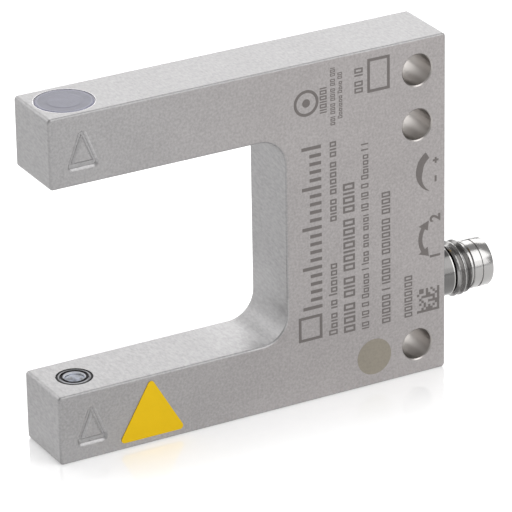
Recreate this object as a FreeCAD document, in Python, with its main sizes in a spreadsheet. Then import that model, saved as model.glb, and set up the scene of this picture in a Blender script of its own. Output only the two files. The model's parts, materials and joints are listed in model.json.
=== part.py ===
import FreeCAD, Part
import os
import re

import Sketcher
from FreeCAD import Placement, Rotation, Vector

# A stainless fork light barrier. The milled fork stands on its lower arm, with its open end towards -X
# and the plug towards +X. The origin is the middle of the flat underside, Y runs through the thickness,
# and the engraved front face looks towards -Y. All sizes are in millimetres.

SIZES = {
    # Fork housing
    "body_length": 60,
    "body_height": 50,
    "body_width": 10,
    "fork_width": 30,
    "fork_depth": 35,
    "fork_corner": 4,
    "corner_round": 0.5,
    "edge_round": 0.3,
    "front_wall": 2,
    "fork_wall": 2.5,
    "outer_wall": 2.5,
    "tip_wall": 2,
    "rear_wall": 2.5,
    "cutter_round": 1,
    # Mounting holes
    "hole_diameter": 4.5,
    "hole_inset": 4.5,
    "hole_pitch": 8,
    "hole_chamfer": 0.15,
    "hole_wall": 1.5,
    # Back cover, let into the back face and welded round its edge
    "cover_thickness": 1,
    "cover_ledge": 0.8,
    "fit_gap": 0.02,
    # Triangles that mark the beam, engraved with chamfered edges round a smaller one left standing
    "arrow_width": 4.3,
    "arrow_height": 5.6,
    "arrow_bar": 0.6,
    "arrow_core_width": 3.3,
    "arrow_core_height": 4,
    "arrow_rise": 2.4,
    "arrow_depth": 0.35,
    "arrow_round": 0.4,
    "arrow_chamfer": 0.3,
    # Optics, one set in each arm
    "beam_inset": 4.9,
    "seal_diameter": 5.1,
    "seal_depth": 0.8,
    "seal_recess": 0.1,
    "tube_diameter": 4.6,
    "tube_bore": 3.9,
    "tube_length": 4.1,
    "tube_chamfer": 0.12,
    "rim_recess": 0.05,
    "baffle_recess": 0.15,
    "baffle_length": 1.9,
    "baffle_stop": 2.6,
    "lens_diameter": 3.05,
    "lens_clear": 2.8,
    "lens_depth": 0.25,
    "lens_thickness": 1.05,
    "lens_curve": 6,
    "lens_ring_height": 0.2,
    "diode_base": 3.8,
    "diode_base_height": 1,
    "diode_can": 2.7,
    "diode_can_height": 0.7,
    "photodiode_side": 2.6,
    "photodiode_height": 1.2,
    "optic_board_length": 5,
    "optic_board_width": 4.8,
    "board_thickness": 0.8,
    # Indicator window in the top of the upper arm
    "window_diameter": 7.9,
    "window_thickness": 1.3,
    "window_seal": 0.15,
    "window_seal_height": 1.1,
    "window_chamfer": 0.12,
    "window_ledge": 1,
    "light_well_diameter": 4,
    "light_well_depth": 0.6,
    "led_length": 1.6,
    "led_width": 0.8,
    "led_height": 0.7,
    "led_spacing": 1.6,
    # Main board and what it carries
    "board_drop": 1.4,
    "board_gap": 0.5,
    "board_edge": 0.3,
    "boss_diameter": 2,
    "boss_inset": 2,
    "wire_diameter": 0.6,
    "wire_count": 4,
    "wire_pitch": 0.55,
    "wire_landing": 1.5,
    "chip_side": 5,
    "chip_height": 0.9,
    "chip_level": 26,
    "driver_side": 3,
    "driver_height": 1,
    "driver_level": 15,
    "capacitor_length": 3.5,
    "capacitor_width": 2.8,
    "capacitor_height": 1.9,
    "capacitor_level": 37,
    # The two adjusting screws in the rear face and the trimmers that they turn. One screw lies
    # below the middle hole, the other above the plug.
    "sensitivity_drop": 7.1,
    "mode_rise": 8,
    "screw_diameter": 3.5,
    "screw_play": 0.05,
    "screw_recess": 0.4,
    "screw_slot_width": 0.6,
    "screw_slot_depth": 0.9,
    "screw_chamfer": 0.2,
    "screw_groove_start": 0.9,
    "screw_groove_width": 0.65,
    "screw_groove_diameter": 2.5,
    "collar_diameter": 4.4,
    "collar_thickness": 0.7,
    "collar_play": 0.1,
    "shaft_diameter": 1.9,
    "shaft_entry": 3,
    "trimmer_length": 3.8,
    "trimmer_height": 3.8,
    "trimmer_width": 4.4,
    "trimmer_gap": 1.7,
    # Plug connector, measured along its axis from the rear face
    "plug_level": 12.2,
    "plug_seat": 4.5,
    "plug_reach": 9,
    "neck_diameter": 7.1,
    "neck_reach": 2.6,
    "undercut_diameter": 6.5,
    "thread_start": 2.8,
    "thread_diameter": 7.8,
    "thread_end": 5.15,
    "thread_chamfer": 0.35,
    "nose_start": 5.85,
    "nose_diameter": 6.9,
    "nose_chamfer": 0.25,
    "nose_groove_start": 7,
    "nose_groove_width": 0.3,
    "nose_groove_depth": 0.2,
    "socket_diameter": 5.8,
    "socket_floor": 3,
    "insert_diameter": 5,
    "insert_flange": 0.6,
    "insert_back": 3.5,
    "insert_groove_start": 0.5,
    "insert_groove_width": 0.6,
    "insert_groove_diameter": 3.95,
    "key_width": 0.8,
    "key_height": 0.4,
    "key_gap": 0.08,
    "key_length": 3.4,
    "pin_diameter": 1,
    "pin_tip_diameter": 0.5,
    "pin_tip_length": 0.4,
    "pin_recess": 1,
    "pin_tail_diameter": 0.6,
    "pin_step": 1,
    "pin_overhang": 1.1,
    "pin_circle_radius": 1.5,
    # Round rubber seals
    "seal_cord": 0.5,
    # Plain yellow marker stuck on the lower arm
    "marker_side": 10.1,
    "marker_round": 0.5,
    "marker_rise": 0.95,
    "marker_inset": 13.85,
    "marker_thickness": 0.1,
}

# Places that several pieces share, as formulas of the sizes
REAR = "body_length / 2"
BEAM = "(beam_inset - body_length / 2)"
ARM = "(body_height - fork_width) / 2"
UPPER_ARM = "(body_height + fork_width) / 2"
BOARD_LEFT = "(fork_depth + fork_wall + board_gap - body_length / 2)"
BOARD_RIGHT = "(body_length / 2 - hole_inset - hole_diameter / 2 - hole_wall - board_gap)"
BOSS_HEIGHT = "body_width / 2 - front_wall - board_thickness - board_drop"
HOLE_X = "body_length / 2 - hole_inset"
HOLE_LEVELS = ("hole_inset", "body_height - hole_inset - hole_pitch", "body_height - hole_inset")
SENSITIVITY_LEVEL = f"({HOLE_LEVELS[1]} - sensitivity_drop)"
MODE_LEVEL = "(plug_level + mode_rise)"
OPTIC_BOARD_DEPTH = "(rim_recess + tube_length)"
TUBE_FIT = "(tube_diameter / 2 + fit_gap)"

# Turns that point a piece's own axis, or a bar's, along the part's axes
UP = Rotation(Vector(0, 1, 0), -90)
DOWN = Rotation(Vector(0, 1, 0), 90)
BAR_TO_X = Rotation(Vector(0, 1, 0), 90)
BAR_TO_FRONT = Rotation(Vector(1, 0, 0), 90)

# Lengths that agree this closely are the same
TOUCH = 1e-4
# How a sketch numbers the points of a line or a circle
START, END, CENTRE = range(1, 4)
# Sizes that a new outline and a new dimension have until their formulas set them
LOOSE_RADIUS = 20
LOOSE_SIZE = 1.0

doc = FreeCAD.newDocument("ForkSensor")
pieces = []


def fill_sheet():
    """Put every driving size in a cell of its own, under its own name."""
    sheet = doc.addObject("Spreadsheet::Sheet", "Sizes")
    for row, (name, value) in enumerate(SIZES.items(), start=1):
        sheet.set(f"A{row}", name.replace("_", " "))
        sheet.set(f"B{row}", str(value))
        sheet.setAlias(f"B{row}", name)
    doc.recompute()


def formula(text):
    """Turn the size names in a formula into references to their cells."""
    return re.sub(r"[a-z_]+", lambda word: f"Sizes.{word[0]}" if word[0] in SIZES else word[0], text)


def bind(thing, **formulas):
    """Tie properties to formulas. A double underscore stands for a dot in the property's path."""
    for path, text in formulas.items():
        thing.setExpression(path.replace("__", "."), formula(text))


def place(thing, x="0", y="0", z="0", turn=None):
    """Give a piece its place, as formulas, and its turn."""
    if turn:
        thing.Placement = Placement(Vector(), turn)
    bind(thing, Placement__Base__x=x, Placement__Base__y=y, Placement__Base__z=z)


def new_body(label):
    """Start a body for one piece."""
    body = doc.addObject("PartDesign::Body", label)
    body.Label = label
    pieces.append(body)
    return body


def new_sketch(body, name, plane="XZ_Plane", offset="0"):
    """Start a sketch on one of the body's own planes, moved along its normal."""
    sketch = body.newObject("Sketcher::SketchObject", name)
    support = next(part for part in body.Origin.OriginFeatures if part.Role == plane)
    sketch.AttachmentSupport = (support, [""])
    sketch.MapMode = "FlatFace"
    bind(sketch, AttachmentOffset__Base__z=offset)
    return sketch


def fix_point(sketch, line, end, across, up):
    """Hold one end of a line, or a centre, at the place that two formulas give."""
    across_axis, up_axis = -1, -2
    for kind, axis, text in (("DistanceX", up_axis, across), ("DistanceY", across_axis, up)):
        if text == "0":
            sketch.addConstraint(Sketcher.Constraint("PointOnObject", line, end, axis))
            continue
        index = sketch.addConstraint(Sketcher.Constraint(kind, across_axis, START, line, end, LOOSE_SIZE))
        sketch.setExpression(f"Constraints[{index}]", formula(text))


def draw_outline(sketch, corners):
    """Draw a closed outline of straight lines through the corners."""
    count = len(corners)
    turn = Rotation(Vector(0, 0, 1), 360 / count)
    points = [Vector(LOOSE_RADIUS, 0, 0)]
    for _ in corners[1:]:
        points.append(turn.multVec(points[-1]))
    lines = [Part.LineSegment(points[i], points[(i + 1) % count]) for i in range(count)]
    first = sketch.addGeometry(lines, False)[0]
    for i in range(count):
        joint = Sketcher.Constraint("Coincident", first + i, END, first + (i + 1) % count, START)
        sketch.addConstraint(joint)
    for i, (across, up) in enumerate(corners):
        fix_point(sketch, first + i, START, across, up)


def draw_circle(sketch, across, up, diameter):
    """Draw a circle about a point."""
    loose = Part.Circle(Vector(LOOSE_SIZE, LOOSE_SIZE, 0), Vector(0, 0, 1), LOOSE_SIZE)
    circle = sketch.addGeometry(loose, False)
    index = sketch.addConstraint(Sketcher.Constraint("Diameter", circle, LOOSE_SIZE))
    sketch.setExpression(f"Constraints[{index}]", formula(diameter))
    fix_point(sketch, circle, CENTRE, across, up)


def draw_triangle(sketch, middle, base, width, height):
    """Draw a triangle that stands on its base with its tip above the middle."""
    draw_outline(sketch, [
        (f"{middle} - {width} / 2", base), (f"{middle} + {width} / 2", base), (middle, f"{base} + {height}"),
    ])


def box_corners(left, right, low, high):
    """The four corners of a rectangle."""
    return [(left, low), (right, low), (right, high), (left, high)]


def pad(body, sketch, length, middle=False, reverse=False):
    """Raise a sketch into a solid."""
    feature = body.newObject("PartDesign::Pad", "Pad")
    feature.Profile = sketch
    feature.Midplane = middle
    feature.Reversed = reverse
    bind(feature, Length=length)
    doc.recompute()
    return feature


def pocket(body, sketch, depth, middle=False, reverse=False):
    """Cut a sketch into the solid, and make sure that it removes something."""
    before = body.Tip.Shape.Volume
    feature = body.newObject("PartDesign::Pocket", "Pocket")
    feature.Profile = sketch
    feature.Midplane = middle
    feature.Reversed = reverse
    bind(feature, Length=depth)
    doc.recompute()
    if feature.Shape.Volume >= before:
        raise RuntimeError(f"{body.Label}: {sketch.Label} cuts nothing")
    return feature


def dress(body, kind, test, **formulas):
    """Round or chamfer those edges of the body, as it stands, that pass a test."""
    base = body.Tip
    edges = [f"Edge{i}" for i, edge in enumerate(base.Shape.Edges, start=1) if test(edge)]
    feature = body.newObject(f"PartDesign::{kind}", kind)
    feature.Base = (base, edges)
    bind(feature, **formulas)
    doc.recompute()


def same(length, other):
    """Tell whether two lengths agree."""
    return abs(length - other) < TOUCH


def runs_across(edge, low, high):
    """Tell whether an edge runs straight along Y, from low to high."""
    box = edge.BoundBox
    return same(box.XLength, 0) and same(box.ZLength, 0) and same(box.YMin, low) and same(box.YMax, high)


def size(name):
    """Read one driving size."""
    return float(doc.Sizes.get(name))


def turned(label, outline, x="0", y="0", z="0", turn=None):
    """Turn an outline of (along, radius) corners about the piece's own X axis."""
    body = new_body(label)
    sketch = new_sketch(body, f"{label}_profile")
    draw_outline(sketch, outline)
    feature = body.newObject("PartDesign::Revolution", "Revolution")
    feature.Profile = sketch
    feature.ReferenceAxis = (sketch, ["H_Axis"])
    feature.Angle = 360
    place(body, x, y, z, turn)
    doc.recompute()
    return body


def ring_outline(start, end, outer, inner):
    """The section of a plain ring."""
    return [(start, inner), (end, inner), (end, outer), (start, outer)]


def block(label, length, width, height, x, y, z):
    """A block given by its sides and its corner with the lowest coordinates."""
    solid = doc.addObject("Part::Box", label)
    solid.Label = label
    bind(solid, Length=length, Width=width, Height=height)
    place(solid, x, y, z)
    pieces.append(solid)
    return solid


def cylinder(name, radius, length, x="0", y="0", z="0", turn=None):
    """A round bar that is used to build or cut a piece."""
    bar = doc.addObject("Part::Cylinder", name)
    bind(bar, Radius=radius, Height=length)
    place(bar, x, y, z, turn)
    return bar


def ring(label, radius, x, level):
    """A round rubber ring about an axis along X."""
    seal = doc.addObject("Part::Torus", label)
    seal.Label = label
    bind(seal, Radius1=radius, Radius2="seal_cord / 2")
    place(seal, x, "0", level, BAR_TO_X)
    pieces.append(seal)


def fuse(label, solids, x="0", y="0", z="0", turn=None):
    """Join overlapping solids into one piece."""
    whole = doc.addObject("Part::MultiFuse", label)
    whole.Label = label
    whole.Shapes = solids
    whole.Refine = True
    place(whole, x, y, z, turn)
    pieces.append(whole)


def cut(label, solid, tool):
    """Cut one solid with another to make a piece."""
    rest = doc.addObject("Part::Cut", label)
    rest.Label = label
    rest.Base = solid
    rest.Tool = tool
    pieces.append(rest)


def cavity_corners(margin):
    """The outline of the U-shaped cavity behind the back cover, grown by a margin."""
    left = f"tip_wall - body_length / 2 - ({margin})"
    low = f"outer_wall - ({margin})"
    inner_low = f"{ARM} - fork_wall + ({margin})"
    bar_left = f"fork_depth + fork_wall - body_length / 2 - ({margin})"
    bar_right = f"{HOLE_X} - hole_diameter / 2 - hole_wall + ({margin})"
    bay_right = f"body_length / 2 - rear_wall + ({margin})"
    bay_low = f"hole_inset + hole_diameter / 2 + hole_wall - ({margin})"
    bay_high = f"{HOLE_LEVELS[1]} - hole_diameter / 2 - hole_wall + ({margin})"
    inner_high = f"{UPPER_ARM} + fork_wall - ({margin})"
    high = f"body_height - outer_wall + ({margin})"
    return [
        (left, low), (bar_right, low), (bar_right, bay_low), (bay_right, bay_low),
        (bay_right, bay_high), (bar_right, bay_high), (bar_right, high), (left, high),
        (left, inner_high), (bar_left, inner_high), (bar_left, inner_low), (left, inner_low),
    ]


def shape_fork(body):
    """The plain fork, with its slot and its rounded corners and edges."""
    sketch = new_sketch(body, "fork_profile")
    left = "-body_length / 2"
    floor = "fork_depth - body_length / 2"
    draw_outline(sketch, [
        (left, "0"), (REAR, "0"), (REAR, "body_height"), (left, "body_height"),
        (left, UPPER_ARM), (floor, UPPER_ARM), (floor, ARM), (left, ARM),
    ])
    pad(body, sketch, "body_width", middle=True)
    half = size("body_width") / 2
    slot_end = size("fork_depth") - size("body_length") / 2

    def is_slot_corner(edge):
        return runs_across(edge, -half, half) and same(edge.BoundBox.XMin, slot_end)

    def is_outer_corner(edge):
        return runs_across(edge, -half, half) and not is_slot_corner(edge)

    def is_face_rim(edge):
        return same(edge.BoundBox.YLength, 0) and same(abs(edge.BoundBox.YMin), half)

    dress(body, "Fillet", is_outer_corner, Radius="corner_round")
    dress(body, "Fillet", is_slot_corner, Radius="fork_corner")
    dress(body, "Fillet", is_face_rim, Radius="edge_round")


def cut_mounting_holes(body):
    """Three screw holes near the rear face, chamfered on both sides."""
    sketch = new_sketch(body, "mounting_holes")
    for level in HOLE_LEVELS:
        draw_circle(sketch, HOLE_X, level, "hole_diameter")
    pocket(body, sketch, "2 * body_width", middle=True)
    half = size("body_width") / 2
    radius = size("hole_diameter") / 2

    def is_mouth(edge):
        is_round = hasattr(edge.Curve, "Radius") and same(edge.Curve.Radius, radius)
        return is_round and same(abs(edge.CenterOfMass.y), half)

    dress(body, "Chamfer", is_mouth, Size="hole_chamfer")


def cut_cavity(body):
    """The cover's recess in the back face, and the cavity below it with four board bosses."""
    half = size("body_width") / 2
    ledge = half - size("cover_thickness")
    floor = size("front_wall") - half
    recess = new_sketch(body, "cover_recess", offset="-body_width / 2")
    draw_outline(recess, cavity_corners("cover_ledge"))
    pocket(body, recess, "cover_thickness", reverse=True)
    dress(body, "Fillet", lambda edge: runs_across(edge, ledge, half), Radius="cutter_round")
    cavity = new_sketch(body, "cavity", offset="-body_width / 2")
    draw_outline(cavity, cavity_corners("0"))
    pocket(body, cavity, "body_width - front_wall", reverse=True)
    dress(body, "Fillet", lambda edge: runs_across(edge, floor, ledge), Radius="cutter_round")
    bosses = new_sketch(body, "board_bosses", offset="body_width / 2 - front_wall")
    for across in (f"{BOARD_LEFT} + boss_inset", f"{BOARD_RIGHT} - boss_inset"):
        for up in ("outer_wall + board_gap + boss_inset",
                   "body_height - outer_wall - board_gap - boss_inset"):
            draw_circle(bosses, across, up, "boss_diameter")
    pad(body, bosses, BOSS_HEIGHT, reverse=True)


def cut_optic_bores(body):
    """A stepped bore for the optics in the inner face of each arm."""
    for name, level, upper in (("lower", ARM, False), ("upper", UPPER_ARM, True)):
        seat = new_sketch(body, f"{name}_optic_seat", "XY_Plane", level)
        draw_circle(seat, BEAM, "0", "seal_diameter + 2 * fit_gap")
        pocket(body, seat, "seal_depth", reverse=upper)
        bore = new_sketch(body, f"{name}_optic_bore", "XY_Plane", level)
        draw_circle(bore, BEAM, "0", f"2 * {TUBE_FIT}")
        pocket(body, bore, "fork_wall + cutter_round", reverse=upper)


def cut_window_seat(body):
    """The stepped round seat of the indicator window in the upper arm."""
    seat_size = "window_diameter + 2 * window_seal + 2 * fit_gap"
    seat = new_sketch(body, "window_seat", "XY_Plane", "body_height")
    draw_circle(seat, BEAM, "0", seat_size)
    pocket(body, seat, "window_thickness")
    shaft = new_sketch(body, "window_shaft", "XY_Plane", "body_height")
    draw_circle(shaft, BEAM, "0", f"{seat_size} - 2 * window_ledge")
    pocket(body, shaft, "outer_wall")


def cut_rear_bores(body):
    """The plug's bore and the two screw bores in the rear face."""
    plug = new_sketch(body, "plug_bore", "YZ_Plane", REAR)
    draw_circle(plug, "0", "plug_level", "neck_diameter + 2 * fit_gap")
    pocket(body, plug, "plug_seat")
    screws = new_sketch(body, "screw_bores", "YZ_Plane", REAR)
    for level in (SENSITIVITY_LEVEL, MODE_LEVEL):
        draw_circle(screws, "0", level, "screw_diameter + 2 * screw_play")
    pocket(body, screws, "rear_wall")


def engrave_arrows(body):
    """A triangle cut into each arm's tip, which points along the beam, round a smaller one left standing."""
    for name, base in (("lower", "arrow_rise"), ("upper", f"{UPPER_ARM} + arrow_rise")):
        sketch = new_sketch(body, f"{name}_arrow", offset="body_width / 2")
        draw_triangle(sketch, BEAM, base, "arrow_width", "arrow_height")
        draw_triangle(sketch, BEAM, f"{base} + arrow_bar", "arrow_core_width", "arrow_core_height")
        pocket(body, sketch, "arrow_depth")
    front = -size("body_width") / 2
    floor = front + size("arrow_depth")
    beam = size("beam_inset") - size("body_length") / 2
    upper_arm = (size("body_height") + size("fork_width")) / 2
    bases = [base + size("arrow_rise") for base in (0, upper_arm)]
    tips = [base + size("arrow_height") for base in bases]

    def is_outer_corner(edge):
        level = edge.BoundBox.ZMin
        return runs_across(edge, front, floor) and any(same(level, end) for end in bases + tips)

    def is_mouth(edge):
        box = edge.BoundBox
        reach = max(beam - box.XMin, box.XMax - beam)
        is_inside = any(base < box.ZMin + TOUCH and box.ZMax < tip for base, tip in zip(bases, tips))
        return same(box.YMin, front) and same(box.YMax, front) and is_inside and reach < size("arrow_width") / 2

    dress(body, "Fillet", is_outer_corner, Radius="arrow_round")
    dress(body, "Chamfer", is_mouth, Size="arrow_chamfer")


def make_housing():
    """The fork, milled from one bar, with every seat that its pieces need."""
    body = new_body("housing")
    shape_fork(body)
    cut_mounting_holes(body)
    cut_cavity(body)
    cut_optic_bores(body)
    cut_window_seat(body)
    cut_rear_bores(body)
    engrave_arrows(body)


def make_back_cover():
    """The flush plate that closes the cavity, one fit gap smaller than its recess."""
    body = new_body("back_cover")
    sketch = new_sketch(body, "cover_outline", offset="-body_width / 2")
    draw_outline(sketch, cavity_corners("cover_ledge - fit_gap"))
    pad(body, sketch, "cover_thickness")
    half = size("body_width") / 2
    ledge = half - size("cover_thickness")
    dress(body, "Fillet", lambda edge: runs_across(edge, ledge, half), Radius="cutter_round")


def make_lens(label, level, turn):
    """A plano-convex lens: a flat-rimmed barrel with a spherical dome that stands in its ring."""
    back = "-lens_depth - lens_thickness"
    middle = "-lens_depth - lens_thickness / 2"
    barrel = cylinder(f"{label}_barrel", "lens_diameter / 2", "lens_thickness", back, turn=BAR_TO_X)
    column = cylinder(f"{label}_column", "lens_clear / 2", "lens_curve", middle, turn=BAR_TO_X)
    ball = doc.addObject("Part::Sphere", f"{label}_ball")
    bind(ball, Radius="lens_curve")
    place(ball, "-lens_depth - sqrt(lens_curve ^ 2 - (lens_clear / 2) ^ 2)")
    dome = doc.addObject("Part::Common", f"{label}_dome")
    dome.Base = ball
    dome.Tool = column
    fuse(label, [barrel, dome], BEAM, "0", level, turn)


def make_optics(side, level, turn):
    """One arm's seal, tube, baffle, lens and lens ring, measured outwards from the arm's inner face."""
    spot = {"x": BEAM, "z": level, "turn": turn}
    turned(
        f"{side}_seal",
        ring_outline("-seal_depth", "-seal_recess", "seal_diameter / 2", TUBE_FIT),
        **spot,
    )
    rim, end = "-rim_recess", "-rim_recess - tube_length"
    turned(f"{side}_tube", [
        (end, "tube_bore / 2"), ("-rim_recess - tube_chamfer", "tube_bore / 2"),
        (rim, "tube_bore / 2 + tube_chamfer"), (rim, "tube_diameter / 2"), (end, "tube_diameter / 2"),
    ], **spot)
    stop, back = "-lens_depth - lens_thickness", "-baffle_recess - baffle_length"
    turned(f"{side}_baffle", [
        (back, "baffle_stop / 2"), (stop, "baffle_stop / 2"), (stop, "lens_diameter / 2 + fit_gap"),
        ("-baffle_recess", "lens_diameter / 2 + fit_gap"), ("-baffle_recess", "tube_bore / 2 - fit_gap"),
        (back, "tube_bore / 2 - fit_gap"),
    ], **spot)
    turned(
        f"{side}_lens_ring",
        ring_outline("-lens_depth", "lens_ring_height - lens_depth", "lens_diameter / 2", "lens_clear / 2"),
        **spot,
    )
    make_lens(f"{side}_lens", level, turn)


def make_emitter():
    """The lower arm's optics with the laser diode and its board."""
    make_optics("emitter", ARM, UP)
    back = "-rim_recess - tube_length"
    can = f"{back} + diode_base_height"
    face = f"{can} + diode_can_height"
    turned("laser_diode", [
        (back, "0"), (face, "0"), (face, "diode_can / 2"), (can, "diode_can / 2"),
        (can, "diode_base / 2"), (back, "diode_base / 2"),
    ], x=BEAM, z=ARM, turn=UP)
    level = f"{ARM} - {OPTIC_BOARD_DEPTH} - board_thickness"
    optic_board("emitter_board", level)
    make_ribbon("emitter_ribbon", f"(outer_wall + {ARM} - fork_wall) / 2")


def make_receiver():
    """The upper arm's optics with the photodiode, its board and the two status lamps."""
    make_optics("receiver", UPPER_ARM, DOWN)
    level = f"{UPPER_ARM} + {OPTIC_BOARD_DEPTH}"
    block(
        "photodiode", "photodiode_side", "photodiode_side", "photodiode_height",
        f"{BEAM} - photodiode_side / 2", "-photodiode_side / 2", f"{level} - photodiode_height",
    )
    optic_board("receiver_board", level)
    make_ribbon("receiver_ribbon", f"(body_height - outer_wall + {UPPER_ARM} + fork_wall) / 2")
    for label, side in (("power_lamp", "-"), ("output_lamp", "+")):
        block(
            label, "led_width", "led_length", "led_height",
            f"{BEAM} {side} led_spacing / 2 - led_width / 2", "-led_length / 2", f"{level} + board_thickness",
        )


def optic_board(label, level):
    """A small board across the end of an optic tube."""
    block(
        label, "optic_board_length", "optic_board_width", "board_thickness",
        f"{BEAM} - optic_board_length / 2", "-optic_board_width / 2", level,
    )


def make_ribbon(label, level):
    """A ribbon of wires in the middle of an arm's cavity, from the optic board's edge onto the main board."""
    start = f"{BEAM} + optic_board_length / 2"
    wires = []
    for i in range(int(size("wire_count"))):
        rise = f"({i} - (wire_count - 1) / 2) * wire_pitch"
        wires.append(cylinder(
            f"{label}_wire_{i}", "wire_diameter / 2", f"{BOARD_LEFT} + wire_landing - ({start})",
            start, "wire_diameter / 2 - board_drop", f"{level} + {rise}", BAR_TO_X,
        ))
    fuse(label, wires)


def make_window():
    """The grey window over the status lamps, with its light well below and the seal round it."""
    outer = "window_diameter / 2"
    turned("indicator_window", [
        ("-window_thickness + light_well_depth", "0"), ("0", "0"), ("0", f"{outer} - window_chamfer"),
        ("-window_chamfer", outer), ("-window_thickness", outer),
        ("-window_thickness", "light_well_diameter / 2"),
        ("-window_thickness + light_well_depth", "light_well_diameter / 2"),
    ], x=BEAM, z="body_height", turn=UP)
    turned(
        "window_seal",
        ring_outline(
            "-window_thickness", "window_seal_height - window_thickness",
            f"{outer} + window_seal", f"{outer} + fit_gap",
        ),
        x=BEAM, z="body_height", turn=UP,
    )


def make_main_board():
    """The board on its four bosses, with the parts that it carries on its back."""
    body = new_body("main_board")
    sketch = new_sketch(body, "board_outline", offset="board_drop")
    bay_right = f"{REAR} - plug_seat - board_edge"
    bay_low = "hole_inset + hole_diameter / 2 + hole_wall + board_gap"
    bay_high = f"{HOLE_LEVELS[1]} - hole_diameter / 2 - hole_wall - board_gap"
    low, high = "outer_wall + board_gap", "body_height - outer_wall - board_gap"
    draw_outline(sketch, [
        (BOARD_LEFT, low), (BOARD_RIGHT, low), (BOARD_RIGHT, bay_low), (bay_right, bay_low),
        (bay_right, bay_high), (BOARD_RIGHT, bay_high), (BOARD_RIGHT, high), (BOARD_LEFT, high),
    ])
    pad(body, sketch, "board_thickness")
    middle = f"({BOARD_LEFT} + {BOARD_RIGHT}) / 2"
    for label, side, end, thickness, level in (
        ("controller_chip", "chip_side", "chip_side", "chip_height", "chip_level"),
        ("output_driver", "driver_side", "driver_side", "driver_height", "driver_level"),
        ("supply_capacitor", "capacitor_width", "capacitor_length", "capacitor_height", "capacitor_level"),
    ):
        block(
            label, side, thickness, end,
            f"{middle} - {side} / 2", "-board_drop", f"{level} - {end} / 2",
        )


def make_adjuster(name, trimmer, level):
    """A sealed adjusting screw in the rear wall, its rubber ring and the trimmer that it turns."""
    head = "-screw_recess"
    groove_front = "-screw_recess - screw_groove_start"
    groove_back = f"{groove_front} - screw_groove_width"
    collar_front = "-rear_wall - collar_play"
    collar_back = f"{collar_front} - collar_thickness"
    trimmer_face = f"{collar_back} - trimmer_gap"
    end = f"{trimmer_face} - shaft_entry"
    outer, waist = "screw_diameter / 2", "screw_groove_diameter / 2"
    screw = turned(f"{name}_screw", [
        (end, "0"), (head, "0"), (head, f"{outer} - screw_chamfer"), (f"{head} - screw_chamfer", outer),
        (groove_front, outer), (groove_front, waist), (groove_back, waist), (groove_back, outer),
        (collar_front, outer), (collar_front, "collar_diameter / 2"), (collar_back, "collar_diameter / 2"),
        (collar_back, "shaft_diameter / 2"), (end, "shaft_diameter / 2"),
    ], x=REAR, z=level)
    slot = new_sketch(screw, f"{name}_slot", "YZ_Plane", head)
    draw_outline(slot, box_corners("-screw_diameter", "screw_diameter", "-screw_slot_width / 2",
                                   "screw_slot_width / 2"))
    pocket(screw, slot, "screw_slot_depth")
    groove_middle = f"{REAR} + ({groove_front}) - screw_groove_width / 2"
    ring(f"{name}_ring", f"{waist} + seal_cord / 2", groove_middle, level)
    casing = doc.addObject("Part::Box", f"{trimmer}_casing")
    bind(casing, Length="trimmer_length", Width="trimmer_height", Height="trimmer_width")
    trimmer_back = f"{REAR} + ({trimmer_face}) - trimmer_length"
    place(casing, trimmer_back, "-board_drop", f"{level} - trimmer_width / 2")
    bore = cylinder(
        f"{trimmer}_bore", "shaft_diameter / 2 + screw_play", "2 * shaft_entry + 2 * collar_play",
        f"{REAR} + ({end}) - collar_play", "0", level, BAR_TO_X,
    )
    cut(trimmer, casing, bore)


def make_plug_shell():
    """The plug's turned steel shell: neck, threaded band, snap groove and nose round the pin socket."""
    back = "-plug_seat"
    neck, low, nose = "neck_diameter / 2", "undercut_diameter / 2", "nose_diameter / 2"
    crest = "thread_diameter / 2"
    groove_end = "nose_groove_start + nose_groove_width"
    bore = "insert_diameter / 2 + fit_gap"
    turned("plug_shell", [
        (back, bore), ("socket_floor", bore), ("socket_floor", "socket_diameter / 2"),
        ("plug_reach", "socket_diameter / 2"), ("plug_reach", f"{nose} - nose_chamfer"),
        ("plug_reach - nose_chamfer", nose), (groove_end, nose), (groove_end, f"{nose} - nose_groove_depth"),
        ("nose_groove_start", f"{nose} - nose_groove_depth"), ("nose_groove_start", nose),
        ("nose_start", nose), ("nose_start", low), ("thread_end", low),
        ("thread_end", f"{crest} - thread_chamfer"), ("thread_end - thread_chamfer", crest),
        ("thread_start + thread_chamfer", crest), ("thread_start", f"{crest} - thread_chamfer"),
        ("thread_start", low), ("neck_reach", low), ("neck_reach", neck), (back, neck),
    ], x=REAR, z="plug_level")


def pin_spots():
    """The three pins' places on their circle, as formulas of Y and Z from the plug's axis."""
    return [
        (f"pin_circle_radius * cos({angle})", f"pin_circle_radius * sin({angle})")
        for angle in (0, 120, 240)
    ]


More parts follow.
